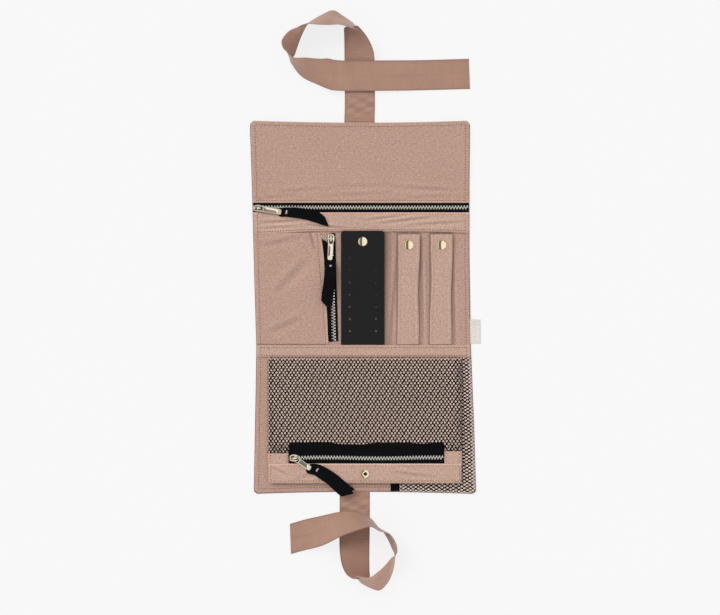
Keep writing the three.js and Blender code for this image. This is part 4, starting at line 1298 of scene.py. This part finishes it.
def slider(name):
    """The slider: a shield-shaped plate, dark painted shade in its recess, and the bridge that holds the
    pull.
    """
    chain = zips[name]["chain"]
    outline = [(place, -half) for place, half in SLIDER_HALF] + list(SLIDER_HALF[::-1])
    body = plate(f"{name}_slider", [outline], SLIDER_BASE, SLIDER_TOP, SLIDER_BEVEL, champagne_metal, chain)
    dress(body, "gold_metal", f"{name}_slider", nodes=(f"{name}_slider",))
    recess = rounded_outline(*RECESS, EYE_RADIUS)
    low, high = SLIDER_TOP - RECESS_LOW, SLIDER_TOP + RECESS_HIGH
    well = plate(f"{name}_recess", [recess], low, high, RECESS_BEVEL, painted_shade_metal, chain)
    dress(well, "gold_metal", f"{name}_slider")
    points, faces = bar(BRIDGE_PATH, BRIDGE_WIDTH, BRIDGE_THICKNESS)
    bridge = make(f"{name}_bridge", placed(points, chain), faces, champagne_metal)
    dress(bridge, "gold_metal", f"{name}_slider")


def roof(start, end, half, crest, base, rise):
    """Points and faces of a low ridge, sloped at its ends too. Its crest may lie off centre."""
    points = [(start, -half, base), (start, half, base), (end, half, base), (end, -half, base),
              (start + half, crest * half, base + rise), (end - half, crest * half, base + rise)]
    return np.array(points), [(0, 3, 5, 4), (1, 4, 5, 2), (0, 4, 1), (3, 2, 5), (0, 1, 2, 3)]


def pull(name):
    """The metal pull, with an eye round the slider's bridge, a low ridge and a solid tip."""
    half, length = PULL_WIDTHS[name] / 2, PULL_LENGTHS[name]
    outline = [(x, y * (1 - PULL_TAPER * x / length))
               for x, y in rounded_outline((-PULL_BACK, -half), (length, half), PULL_RADIUS)]
    eye = rounded_outline(*PULL_EYE, EYE_RADIUS)[::-1]
    thick = PULL_THICKNESS / 2
    matrix = zips[name]["pull"]
    piece = plate(f"{name}_pull", [outline, eye], -thick, thick, PULL_BEVEL, champagne_metal, matrix)
    dress(piece, "gold_metal", f"{name}_pull", nodes=(f"{name}_pull",))
    points, faces = roof(RIDGE_START, length - RIDGE_FROM_TIP, RIDGE_WIDTH * half, RIDGE_PLACES[name],
                         thick - RIDGE_SINK, PULL_RIDGE)
    relief = make(f"{name}_pull_relief", placed(points, matrix), faces, champagne_metal, sharp=5)
    dress(relief, "gold_metal", f"{name}_pull")


def puller_layer(name, lift, back):
    """One layer of the doubled ribbon, from under the pull's tip to its cut end."""
    ends = PULLER_ENDS[name]
    start_bow, middle_bow = PULLER_BOWS[name]
    tip, clip = PULL_LENGTHS[name], CLIP_PLACES[name]
    share = np.linspace(-1, 1, PULLER_COLUMNS)
    end_across = np.linspace(ends[0][0], ends[-1][0], PULLER_COLUMNS)
    end_along = np.interp(end_across, *np.transpose(ends)) - back
    widest = RIBBON_HALVES[name]
    full = PULLER_NARROW * widest
    rows = []
    for past_tip, wide, bowed, up in (*PULLER_TIP, (clip - tip, 1, 1, CLIP_LOW)):
        height = up + bowed * CLIP_RISES[name] - (0 if lift > 0 else LAYER_DROP)
        rows.append(np.stack([np.full(share.shape, tip + past_tip), share * wide * full + bowed * start_bow,
                              np.full(share.shape, height)], -1))
    end_bow = end_across.mean()
    for step in np.linspace(0, 1, PULLER_ROWS)[1:]:
        half = full + (widest - full) * min(1, 5 * step)
        bow = np.interp(step, (0, 0.25, 0.5, 0.75, 1),
                        (start_bow, 0.4 * start_bow + 0.6 * middle_bow, middle_bow,
                         0.7 * middle_bow + 0.3 * end_bow, end_bow))
        across = (1 - step**2) * (share * half + bow) + step**2 * end_across
        along = clip + (end_along - clip) * step
        low = CLIP_RISES[name] + CLIP_LOW
        height = low + (PULLER_SAG[name] - low) * min(1, step * 3) + lift
        across_curl, along_curl = PULLER_CURLS
        curl = across_curl * np.sin(share * 2.2 + step * 5) * step + along_curl * math.sin(step * 7) * step
        rows.append(np.stack([along, across, height + curl], -1))
    return np.array(rows)


def puller(name):
    """The looped black ribbon with a small crimped metal clip."""
    matrix = zips[name]["pull"]
    for label, lift, back in PULLER_LAYERS:
        grid = puller_layer(name, lift, back)
        thick = np.array((0, 0, RIBBON_THICKNESS / 2))
        points, faces = slab(grid + thick, grid - thick)
        flat = points[:, [1, 0]]
        piece = make(f"{name}_puller_{label}", placed(points, matrix), faces, black_tape, flat, sharp=50)
        nodes = (f"{name}_puller",) if label == "upper" else ()
        dress(piece, "black_tape", f"{name}_pull", nodes=nodes)
    width = CLIP_WIDTHS[name]
    pile = Pile()
    pile.add(*bar(CLIP_PATH, width, *CLIP_BAR))
    pile.add(*bar([(along, CLIP_UNDER * up + CLIP_LOW) for along, up in CLIP_PATH], width, *CLIP_BAR))
    middle = (CLIP_PLACES[name], PULLER_BOWS[name][0], CLIP_RISES[name])
    pile.points = [placed(points + middle, matrix) for points in pile.points]
    clip = pile.piece(f"{name}_clip", silver_metal)
    dress(clip, "tooth_metal", f"{name}_pull")


def sideways(shift):
    """A bend of a zip that moves its points across, by what shift gives for their place along it."""
    def bend(points):
        moved = np.array(points, float)
        moved[:, 1] += shift(moved[:, 0])
        return moved
    return bend


def pouch_waver(along):
    return ZIP_WAVE * np.sin(along / ZIP_WAVE_LENGTH) * np.clip(along / ZIP_WAVE_LENGTH, 0, 1)


# The flap's zip lies nearer to the flap's front, the side zip leans left, and the pouch's zip waves
zip_bends = {
    "flap_zip": sideways(lambda along: ZIP_SHIFT),
    "side_zip": sideways(lambda along: -ZIP_LEAN * np.clip(along, 0, None)),
    "pouch_zip": sideways(pouch_waver),
}


def zip_set(name, carrier):
    zip_row(name, 1, "upper", carrier, zip_bends[name])
    zip_row(name, -1, "lower", carrier, zip_bends[name])
    slider(name)
    pull(name)
    puller(name)


# Earring panel, ring straps and snaps
def strap_frame(node):
    """A strap's frame: across, along from its sewn end, and up from its underside."""
    low, high = node_box(node)
    length = high[1] - low[1]
    rise = math.asin((high[2] - low[2] - STRAP_THICKNESS) / length)
    along = np.array((0, math.cos(rise), math.sin(rise)))
    origin = ((low[0] + high[0]) / 2, low[1], low[2])
    return axes(origin, (1, 0, 0), along, np.cross((1, 0, 0), along)), length, high[0] - low[0]


def turned_piece(node, profile, at, matrix, material, slot, body):
    """A turned metal piece in a local frame. It stands for the node of its name, where there is one."""
    points, faces = lathe(profile)
    piece = make(node, placed(points + at, matrix), faces, material, sharp=30)
    dress(piece, slot, body, nodes=(node,) if node in frame["nodes"] else ())


def stud(node, body):
    low, high = node_box(node)
    base = ((low[0] + high[0]) / 2, (low[1] + high[1]) / 2, low[2])
    turned_piece(node, STUD_PROFILE, base, np.eye(4), silver_metal, "tooth_metal", body)


def snap(name, strap, matrix, length):
    """A press stud: the cap and socket near a strap's end, and the stud sewn on below them."""
    at = length - SNAP_FROM_END
    cap_at = (0, at, STRAP_THICKNESS)
    turned_piece(f"{name}_cap", CAP_PROFILE, cap_at, matrix, gold_metal, "gold_metal", strap)
    turned_piece(f"{name}_socket", SOCKET_PROFILE, (0, at, 0), matrix, silver_metal, "tooth_metal", strap)
    stud(f"{name}_stud", "middle_panel")


def earring_panel():
    matrix, length, width = strap_frame("earring_panel")
    half = width / 2
    upper_radius, low_radius = PANEL_CORNERS
    outlines = [rounded_outline((-half, 0), (half, length), upper_radius, low_radius=low_radius)]
    for row in range(HOLE_ROWS):
        for column in (-HOLE_COLUMN, HOLE_COLUMN):
            outlines.append(circle(column, FIRST_HOLE + row * HOLE_PITCH, HOLE_RADIUS)[::-1])
    piece = plate("earring_panel", outlines, 0, STRAP_THICKNESS, PANEL_BEVEL, black_leather, matrix)
    dress(piece, "leatherette", "earring_panel", nodes=("earring_panel",))
    snap("earring_snap", "earring_panel", matrix, length)


def ring_strap(name, label, start):
    """A padded strap with soft ridges along its turned edges and a slight waist."""
    matrix, length, width = strap_frame(name)

    def sides(rows):
        half = width / 2 - STRAP_WAIST * bell(rows - 0.5 * length, WAIST_LENGTH)
        waver = STRAP_WAVER * np.sin(rows / STRAP_WAVER_LENGTH + start)
        corner = rounding(length - rows, STRAP_CORNER)
        lean = -STRAP_LEAN * (1 - rows / length)
        return -half + waver + corner + lean, half + 0.5 * waver - corner + lean

    def top(x, y):
        left, right = sides(y)
        edge = np.minimum(x - left, right - x)
        lip = sum(rise * bell(edge - inset, wide) for rise, inset, wide in STRAP_RIDGES)
        waves = [(*wave, start * (i + 1)) for i, wave in enumerate(STRAP_WAVES)]
        return STRAP_THICKNESS + lip + ripple(x, y, waves)

    piece = cloth(name, sides, 0, length, top, constant(0), raised_canvas, seam=0.3,
                  place=lambda p: placed(p, matrix), roll=0.8)
    dress(piece, "lining_canvas", name, nodes=(name,))
    snap(f"{label}_snap", name, matrix, length)


# Nets
def net(name, x_range, y_range, cell, hole, height, keep, place, material):
    """Knitted net: diamond cells that share their corners, each with a round hole.
    The strands are thickest half way between two holes and thin out to the holes' rims."""
    across, down = cell[0] / 2, cell[1]
    columns = round((x_range[1] - x_range[0]) / across)
    rows = round((y_range[1] - y_range[0]) / down)
    turns = np.arange(NET_SIDES) * 2 * math.pi / NET_SIDES
    reach = 1 / (np.abs(np.cos(turns)) / across + np.abs(np.sin(turns)) / down)
    outer = np.stack([reach * np.cos(turns), reach * np.sin(turns)], -1)
    inner = np.stack([hole[0] * np.cos(turns), hole[1] * np.sin(turns)], -1)
    pile = Pile()
    faces = []
    for k in range(NET_SIDES):
        n = (k + 1) % NET_SIDES
        faces.append([k, n, NET_SIDES + n, NET_SIDES + k])
        faces.append([2 * NET_SIDES + n, 2 * NET_SIDES + k, NET_SIDES + k, NET_SIDES + n])
    for j in range(1, rows):
        for i in range(1 + j % 2, columns, 2):
            centre = np.array((x_range[0] + i * across, y_range[1] - j * down))
            if not keep(*centre):
                continue
            wander = NET_WANDER * np.array((math.sin(1.7 * i + 0.9 * j), math.sin(1.1 * i - 2.3 * j)))
            rings = [centre + outer, centre + inner + wander, centre + outer]
            level = [height(*ring.T) for ring in rings]
            lifted = [np.column_stack([ring, z + NET_STRAND / 2 * side])
                      for ring, z, side in zip(rings, level, (1, 0, -1))]
            pile.add(place(np.concatenate(lifted)), faces)
    return pile.piece(name, material)


def slip_pocket():
    """The net slip pocket on the right of the bottom panel, with its black binding."""
    low, high = node_box("slip_pocket_net")
    corner = np.array((half_width - CORNER, case_low[1] + CORNER))

    def net_height(x, y):
        return bottom_height(x, y) + SLIP_RISE + SLIP_WAVE * np.sin(x / 9 + y / 14)

    def keep(x, y):
        past = np.maximum((x - corner[0], corner[1] - y), 0)
        return np.linalg.norm(past) < CORNER

    left, right, below, above = SLIP_MARGINS
    across, down = (low[0] - left, half_width + right), (case_low[1] - below, high[1] + above)
    piece = net("slip_pocket_net", across, down, SLIP_CELL, SLIP_HOLE, net_height, keep, stray, black_net)
    dress(piece, "black_net", "bottom_panel", nodes=("slip_pocket_net",))
    slip_binding()


def slip_binding():
    low, high = node_box("slip_pocket_binding")
    below, above = BINDING_MARGINS

    def over(x, y):
        return bottom_height(x, y) + BINDING_RISE + ripple(x, y, BINDING_WAVES)

    def under(x, y):
        return bottom_height(x, y) + LAYER_GAP

    binding = cloth("slip_pocket_binding", lambda rows: (low[0], high[0]), low[1] - below, high[1] + above,
                    over, under, black_tape, place=stray, roll=0.5)
    dress(binding, "black_tape", "bottom_panel", nodes=("slip_pocket_binding",))


# Net pouch on the bottom panel
def pouch_frame():
    """The pouch's frame: x across from its middle, y up from its sewn upper edge, z up from its back."""
    up = zips["pouch_zip"]["chain"][:3, 2]
    middle = (pouch_low[0] + pouch_high[0]) / 2
    origin = (middle, joint("net_pouch_lift")["pos_m"][1] / MM, pouch_low[2])
    return axes(origin, (1, 0, 0), np.cross(up, (1, 0, 0)), up)


def on_pouch(points):
    return placed(points, pouch_matrix)


def pouch_sides(rows):
    """Left and right edges of the pouch, with round lower corners."""
    edge = pouch_half - rounding(rows + pouch_length, POUCH_CORNER) - BACK_INSET
    return -edge, edge


def pouch_net_height(x, y):
    slack = np.clip(-y / NET_SLACK_START, 0, 1)
    return POUCH_FRONT - NET_DROP + slack * ripple(x, y, NET_WAVES)


def pouch_body():
    """The pouch's back, which bulges up behind the net, and its net front."""
    def bulge(x, y):
        above_bar = y - bar_top - BULGE_FROM_BAR
        inside = np.clip(np.minimum(pouch_half - np.abs(x), above_bar) / BULGE_START, 0, 1)
        behind_net = pouch_net_height(x, y) - NET_STRAND - POUCH_BASE
        return POUCH_BASE + BACK_THICKNESS + inside * (behind_net - BACK_THICKNESS - BACK_GAP)

    # its canvas is a lighter copy of the lining's pink: painted light against the net's shade
    back = cloth("pouch_back", pouch_sides, -pouch_length, 0, bulge, constant(0), net_back_lit_canvas,
                 turned="LRD", place=on_pouch, roll=0.3)
    dress(back, "lining_canvas", "net_pouch", nodes=("pouch_back",))

    tape_low = bar_top + TAPE_FROM_BAR
    tab_left, tab_right = -pouch_half + TAB_WIDTHS[0], pouch_half - TAB_WIDTHS[1]

    def keep(x, y):
        return y > tape_low or x < tab_left or x > tab_right

    edge = pouch_half + POUCH_MARGINS[0]
    across, down = (-edge, edge), (bar_top + NET_FROM_BAR, POUCH_MARGINS[1])
    front = net("pouch_net", across, down, POUCH_CELL, POUCH_HOLE, pouch_net_height, keep, on_pouch,
                black_net)
    dress(front, "black_net", "net_pouch", nodes=("pouch_net",))


def pouch_trim():
    """The pink bar below the zip and the two tabs beside it."""
    base = constant(POUCH_BASE + BACK_THICKNESS + TRIM_GAP)

    def trim_top(x, y):
        return TRIM_TOP + ripple(x, y, TRIM_WAVES) + creases(x, y, TRIM_CREASES)

    def tab_top(x, y):
        return trim_top(x, y) - TAB_DROP

    lower = cloth("pouch_trim_bar", pouch_sides, -pouch_length, bar_top, trim_top, base, raised_canvas,
                  place=on_pouch, step=1.2, shade=shaded_by(TRIM_CREASES), pale="U")
    dress(lower, "lining_canvas", "net_pouch", nodes=("pouch_trim",))
    places = (("left", -pouch_half, -pouch_half + TAB_WIDTHS[0], TAB_HEIGHTS[0]),
              ("right", pouch_half - TAB_WIDTHS[1], pouch_half, TAB_HEIGHTS[1]))
    for label, left, right, height in places:
        tab = cloth(f"pouch_tab_{label}", lambda rows: (left, right), bar_top - TAB_LAP, bar_top + height,
                    tab_top, base, raised_canvas, place=on_pouch)
        dress(tab, "lining_canvas", "net_pouch")


def pouch_snap():
    """The pouch bar's snap: a ring with a dark well painted as its hole's shade, the socket below it, and
    the stud.
    """
    centre = sum(node_box("pouch_snap_ring")) / 2
    x, y = (np.linalg.inv(pouch_matrix[:3, :3]) @ (centre - pouch_matrix[:3, 3]))[:2]
    parts = (("ring", RING_PROFILE, TRIM_TOP, gold_metal, "gold_metal"),
             ("well", WELL_PROFILE, TRIM_TOP, painted_shade_metal, "gold_metal"),
             ("socket", SOCKET_PROFILE, POUCH_BASE, silver_metal, "tooth_metal"))
    for label, profile, height, material, slot in parts:
        node = f"pouch_snap_{label}"
        turned_piece(node, profile, (x, y, height), pouch_matrix, material, slot, "net_pouch")
    stud("pouch_snap_stud", "bottom_panel")


# Label and ties
def side_label():
    """A blank folded cotton label sewn into the right edge."""
    low, high = node_box("side_label")
    left = low[0] - LABEL_ROOT

    def over(x, y):
        return high[2] + LABEL_CURL * np.sin(y / 4) * (x - low[0]) / 8

    piece = cloth("side_label", lambda rows: (left, high[0]), low[1], high[1], over, constant(low[2]),
                  label_cotton, seam=0.5, roll=0.4)
    dress(piece, "label_tape", "middle_panel", nodes=("side_label",))


def smooth_path(points, steps):
    """Centripetal Catmull-Rom curve through points."""
    points = np.asarray(points, float)
    first = 2 * points[0] - points[1]
    last = 2 * points[-1] - points[-2]
    whole = np.vstack([first, points, last])
    placed_points = []
    for i in range(1, len(whole) - 2):
        a, b, c, d = whole[i - 1:i + 3]
        gaps = [max(np.linalg.norm(q - p) ** 0.5, 1e-4) for p, q in ((a, b), (b, c), (c, d))]
        start = ((b - a) / gaps[0] - (c - a) / (gaps[0] + gaps[1]) + (c - b) / gaps[1]) * gaps[1]
        end = ((c - b) / gaps[1] - (d - b) / (gaps[1] + gaps[2]) + (d - c) / gaps[2]) * gaps[1]
        for k in range(steps):
            t = k / steps
            placed_points.append((2 * t**3 - 3 * t**2 + 1) * b + (t**3 - 2 * t**2 + t) * start
                                 + (3 * t**2 - 2 * t**3) * c + (t**3 - t**2) * end)
    placed_points.append(points[-1])
    return np.array(placed_points)


def ribbon(route, root):
    """Places across and along a ribbon that follows a route, and the way its upper side faces there."""
    route = np.array(route)
    route = np.vstack([route[0] - (0, math.copysign(TIE_TUCK, route[-1][1]), 0, 0, 0), route])
    turn, tilt = np.radians(route[:, 2]), np.radians(route[:, 3])
    lower = np.stack([route[:, 0] + root[0], route[:, 1] + root[1], TIE_LIFT + route[:, 4]], -1)
    across = np.stack([np.cos(tilt) * np.cos(turn), np.cos(tilt) * np.sin(turn), np.sin(tilt)], -1)
    low_edge = smooth_path(lower, TIE_STEPS)
    high_edge = smooth_path(lower + across * TIE_WIDTH, TIE_STEPS)
    across = high_edge - low_edge
    across /= np.linalg.norm(across, axis=1)[:, None]
    share = np.linspace(0, 1, TIE_COLUMNS + 1)
    grid = low_edge[:, None] + across[:, None] * TIE_WIDTH * share[None, :, None]
    normal = np.cross(np.gradient(grid, axis=0), across[:, None])
    normal /= np.linalg.norm(normal, axis=2)[:, :, None]
    for i in range(1, len(normal)):
        against = (normal[i] * normal[i - 1]).sum(axis=1) < 0
        normal[i][against] *= -1
    return grid, normal * np.sign(normal[0, TIE_COLUMNS // 2, 2])


def tie(name, route, root):
    """A ribbon laid in loops, cupped along its length and crumpled near its root."""
    grid, normal = ribbon(route, root)
    share = np.linspace(0, 1, TIE_COLUMNS + 1)
    middle = grid[:, TIE_COLUMNS // 2]
    run = np.concatenate([[0], np.cumsum(np.linalg.norm(np.diff(middle, axis=0), axis=1))])
    cup = TIE_CUP * np.sin(math.pi * share)[None, :] * np.sin(run / TIE_CUP_LENGTH)[:, None]
    across_mm, run_mm = np.meshgrid(share * TIE_WIDTH, run)
    stem = bell(run_mm - TIE_CREASE, TIE_CREASE_REACH)
    crumple = stem * (ripple(across_mm, run_mm, TIE_CREASES) + CRUMPLE_RISE)
    cup += crumple
    # Painted shade in the crumples near the root, and painted light where the ribbon faces away from the
    # lamp
    seen = normal * np.where(normal[:, :, 2:] < 0, -1, 1)
    away = np.clip(TIE_PAINTED_LIGHT_FACING * (seen[:, :, 0] - seen[:, :, 1]), 0, 1)
    darker = CRUMPLE_SHADE * (CRUMPLE_RISE * stem - crumple) - TIE_PAINTED_LIGHT * away
    grid = grid + normal * cup[:, :, None]
    half = TIE_THICKNESS / 2
    points, faces = slab(grid + normal * half, grid - normal * half)
    points[:, 2] = np.maximum(points[:, 2], TIE_LOWEST)
    flat = np.stack([across_mm, run_mm], -1).reshape(-1, 2)
    piece = make(name, points, faces, pink_ribbon, np.concatenate([flat, flat]), 60, painted_shading_layer(darker))
    dress(piece, "tie_ribbon", name, nodes=(name,))
    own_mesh(piece)


# Stitching
def stitch_shape():
    """One stitch along x: a short thread that dips into the cloth at both ends."""
    points = []
    for place in STITCH_RINGS:
        radius = THREAD_RADIUS * math.sqrt(1 - (STITCH_TAPER * place) ** 2)
        for j in range(STITCH_SIDES):
            turn = 2 * math.pi * j / STITCH_SIDES
            height = STITCH_RISE - STITCH_DIP * place**2 + radius * math.sin(turn)
            points.append((place * STITCH_LENGTH / 2, radius * math.cos(turn), height))
    return np.array(points), ring_faces(len(STITCH_RINGS), STITCH_SIDES)


def sew(pile, start, end, height, place):
    """A row of stitches from start to end on a surface."""
    start, end = np.array(start, float), np.array(end, float)
    length = np.linalg.norm(end - start)
    count = max(1, int(length / STITCH_PITCH))
    run = (end - start) / length
    points, faces = stitch_shape()
    for i in range(count):
        x, y = start + run * (i + 0.5) * length / count
        tilt = STITCH_TILT * math.sin(i * 2.4)
        u, v = run[0] - tilt * run[1], run[1] + tilt * run[0]
        turned = np.stack([x + points[:, 0] * u - points[:, 1] * v, y + points[:, 0] * v + points[:, 1] * u,
                           points[:, 2] + height(np.array(x), np.array(y))], -1)
        pile.add(place(turned), faces)


def case_stitches():
    """Topstitching round the edge of the case, along the strip, band and pocket edges."""
    inset = LINING_INSET + STITCH_INSET
    left, right = -half_width + inset, half_width - inset
    top, bottom = case_high[1] - inset, case_low[1] + inset
    pocket_top = strip_low - PANEL_CLEAR
    flap, middle, lower, upper_fold_row, lower_fold_row = (Pile() for _ in range(5))
    sew(flap, (left, top), (right, top), front_height, stray)
    for x in (left, right):
        sew(flap, (x, front_low + ROW_CLEAR), (x, top), front_height, stray)
        low, high = strip_low + ROW_CLEAR, strip_high - ROW_CLEAR
        sew(upper_fold_row, (x, low), (x, high), strip_height, strip_edge)
        low, high = band_low + ROW_CLEAR, band_high - ROW_CLEAR
        sew(lower_fold_row, (x, low), (x, high), band_height, stray)
        surface = pocket_height if x < 0 else middle_height
        sew(middle, (x, band_high + PANEL_CLEAR), (x, pocket_top), surface, stray)
    crossing = (
        (flap, front_low + FRONT_SEAM, front_height, stray),
        (upper_fold_row, strip_high - STRIP_SEAMS[1], strip_height, strip_edge),
        (upper_fold_row, strip_low + STRIP_SEAMS[0], strip_height, strip_edge),
        (lower_fold_row, band_high - BAND_SEAMS[1], band_height, stray),
        (lower_fold_row, band_low + BAND_SEAMS[0], band_height, stray),
    )
    for pile, y, surface, place in crossing:
        sew(pile, (left, y), (right, y), surface, place)
    ends = np.array((band_high + ROW_CLEAR, pocket_top))
    edge = pocket_sides(ends)[1] - POCKET_SEAM
    sew(middle, (edge[0], ends[0]), (edge[1], ends[1]), pocket_height, stray)
    slip_left = node_box("slip_pocket_binding")[0][0]
    sew(lower, (left, bottom), (left, band_low - PANEL_CLEAR), bottom_height, stray)
    sew(lower, (left, bottom), (slip_left, bottom), bottom_height, stray)
    panels = (("flap", flap, "top_flap"), ("middle", middle, "middle_panel"),
              ("bottom", lower, "bottom_panel"))
    for label, pile, body in panels:
        dress(pile.piece(f"{label}_stitches", pink_thread), "lining_canvas", body)
    for label, pile, fold in (("upper", upper_fold_row, upper_bend), ("lower", lower_fold_row, lower_bend)):
        dress(pile.piece(f"{label}_fold_stitches", pink_thread), "lining_canvas", fold=fold)


def pouch_stitches():
    """Topstitching round the pouch's bar and along the sides of its tabs."""
    pile = Pile()
    edge = pouch_half - POUCH_SEAM
    low, high = -pouch_length + POUCH_SEAM, bar_top - BAR_SEAM
    level = constant(TRIM_TOP)
    for y in (high, low):
        sew(pile, (-edge, y), (edge, y), level, on_pouch)
    for x in (-edge, edge):
        sew(pile, (x, low), (x, high), level, on_pouch)
    tab_left, tab_right = -pouch_half + TAB_WIDTHS[0], pouch_half - TAB_WIDTHS[1]
    tabs = ((-edge, TAB_HEIGHTS[0]), (tab_left - TAB_SEAM, TAB_HEIGHTS[0]),
            (tab_right + TAB_SEAM, TAB_HEIGHTS[1]), (edge, TAB_HEIGHTS[1]))
    tab_level = constant(TRIM_TOP - TAB_DROP)
    for x, height in tabs:
        start, end = bar_top + TAB_CLEAR[0], bar_top + height - TAB_CLEAR[1]
        sew(pile, (x, start), (x, end), tab_level, on_pouch)
    dress(pile.piece("pouch_stitches", pink_thread), "lining_canvas", "net_pouch")


# Making
zips = {name: zip_frames(name) for name in zip_bends}
pouch_matrix = pouch_frame()
shell()
lining()
flap_front()
fold_strip()
seam_band()
side_pocket()
zip_set("flap_zip", "top_flap")
zip_set("side_zip", "middle_panel")
zip_set("pouch_zip", "net_pouch")
earring_panel()
ring_strap("inner_ring_strap", "inner_ring", start=0.6)
ring_strap("outer_ring_strap", "outer_ring", start=2.1)
slip_pocket()
pouch_body()
pouch_trim()
pouch_snap()
side_label()
tie("top_tie", TOP_TIE_ROUTE, TOP_TIE_ROOT)
tie("bottom_tie", BOTTOM_TIE_ROUTE, BOTTOM_TIE_ROOT)
case_stitches()
pouch_stitches()


# Table, light and camera
def table():
    """A white table top. Most of what the camera sees of it is its own white, so shadows stay soft."""
    paint = Paint("white_table", 0.9, {"Specular IOR Level": 0.1})
    paint.tint(FLOOR_WHITE, 0.99, 1, paint.noise(paint.solid(), 60, 2))
    glow = paint.node("Emission", {"Color": linear(PAGE_WHITE)}).outputs[0]
    seen = paint.node("LightPath").outputs
    direct = paint.combine("MAXIMUM", seen["Is Camera Ray"], seen["Is Glossy Ray"])
    share = paint.combine("MULTIPLY", direct, TABLE_GLOW)
    mixed = paint.node("MixShader", {0: share, 1: paint.surface.outputs[0], 2: glow}).outputs[0]
    paint.tree.links.new(mixed, paint.tree.nodes["Material Output"].inputs["Surface"])
    signs = ((-1, -1), (1, -1), (1, 1), (-1, 1))
    corners = [(x * FLOOR_HALF, y * FLOOR_HALF, -FLOOR_DROP) for x, y in signs]
    floor = make("table", corners, [(0, 1, 2, 3)], paint.material)


def ramp(tree, value, stops):
    """A grey that follows value through (place, level) stops."""
    made = add_node(tree, "ValToRGB", {"Fac": value})
    for place, level in stops:
        made.color_ramp.elements.new(place).color = (level, level, level, 1)
    made.color_ramp.elements.remove(made.color_ramp.elements[0])
    made.color_ramp.elements.remove(made.color_ramp.elements[-1])
    return made.outputs["Color"]


def light():
    """An even white room, and a soft lamp from the upper left. Metal sees a dark gap overhead."""
    world = bpy.data.worlds.new("room")
    world.use_nodes = True
    bpy.context.scene.world = world
    tree = world.node_tree
    there = add_node(tree, "TexCoord").outputs["Generated"]
    half = (0.5, 0.5, 0.5)
    inputs = {0: there, 1: half, 2: half}
    place = add_node(tree, "VectorMath", inputs, operation="MULTIPLY_ADD").outputs[0]
    parts = add_node(tree, "SeparateXYZ", {0: place}).outputs
    inputs = {0: ramp(tree, parts["X"], ROOM_ACROSS), 1: ramp(tree, parts["Z"], ROOM_UP)}
    room = add_node(tree, "VectorMath", inputs, operation="MULTIPLY").outputs[0]
    mirrored = add_node(tree, "Background", {"Color": room}).outputs[0]
    path = add_node(tree, "LightPath").outputs
    level = add_node(tree, "MapRange", {"Value": path["Is Camera Ray"], "To Min": ROOM_LIGHT}).outputs[0]
    plain = add_node(tree, "Background", {"Color": (1, 1, 1, 1), "Strength": level}).outputs[0]
    mixed = add_node(tree, "MixShader", {0: path["Is Glossy Ray"], 1: plain, 2: mirrored}).outputs[0]
    tree.links.new(mixed, tree.nodes["World Output"].inputs["Surface"])
    lamp = bpy.data.lights.new("soft_lamp", "SUN")
    lamp.energy = LAMP_POWER
    lamp.angle = math.radians(LAMP_ANGLE)
    sun = bpy.data.objects.new("soft_lamp", lamp)
    sun.rotation_euler = (*np.radians(LAMP_TILT), 0)
    sun.visible_glossy = False
    bpy.context.scene.collection.objects.link(sun)


def camera():
    """A camera straight above the case, at the photo's scale."""
    made = bpy.data.cameras.new("camera")
    made.lens = LENS
    made.sensor_width = SENSOR
    made.sensor_fit = "HORIZONTAL"
    made.clip_end = VIEW_REACH_METRES
    view = bpy.data.objects.new("camera", made)
    distance = LENS / SENSOR * IMAGE_WIDTH * PIXEL
    x, y, z = VIEW_CENTRE
    view.location = (x * MM, y * MM, (z + distance) * MM)
    bpy.context.scene.collection.objects.link(view)
    bpy.context.scene.camera = view


table()
light()
camera()
bpy.context.scene.view_settings.view_transform = "Standard"
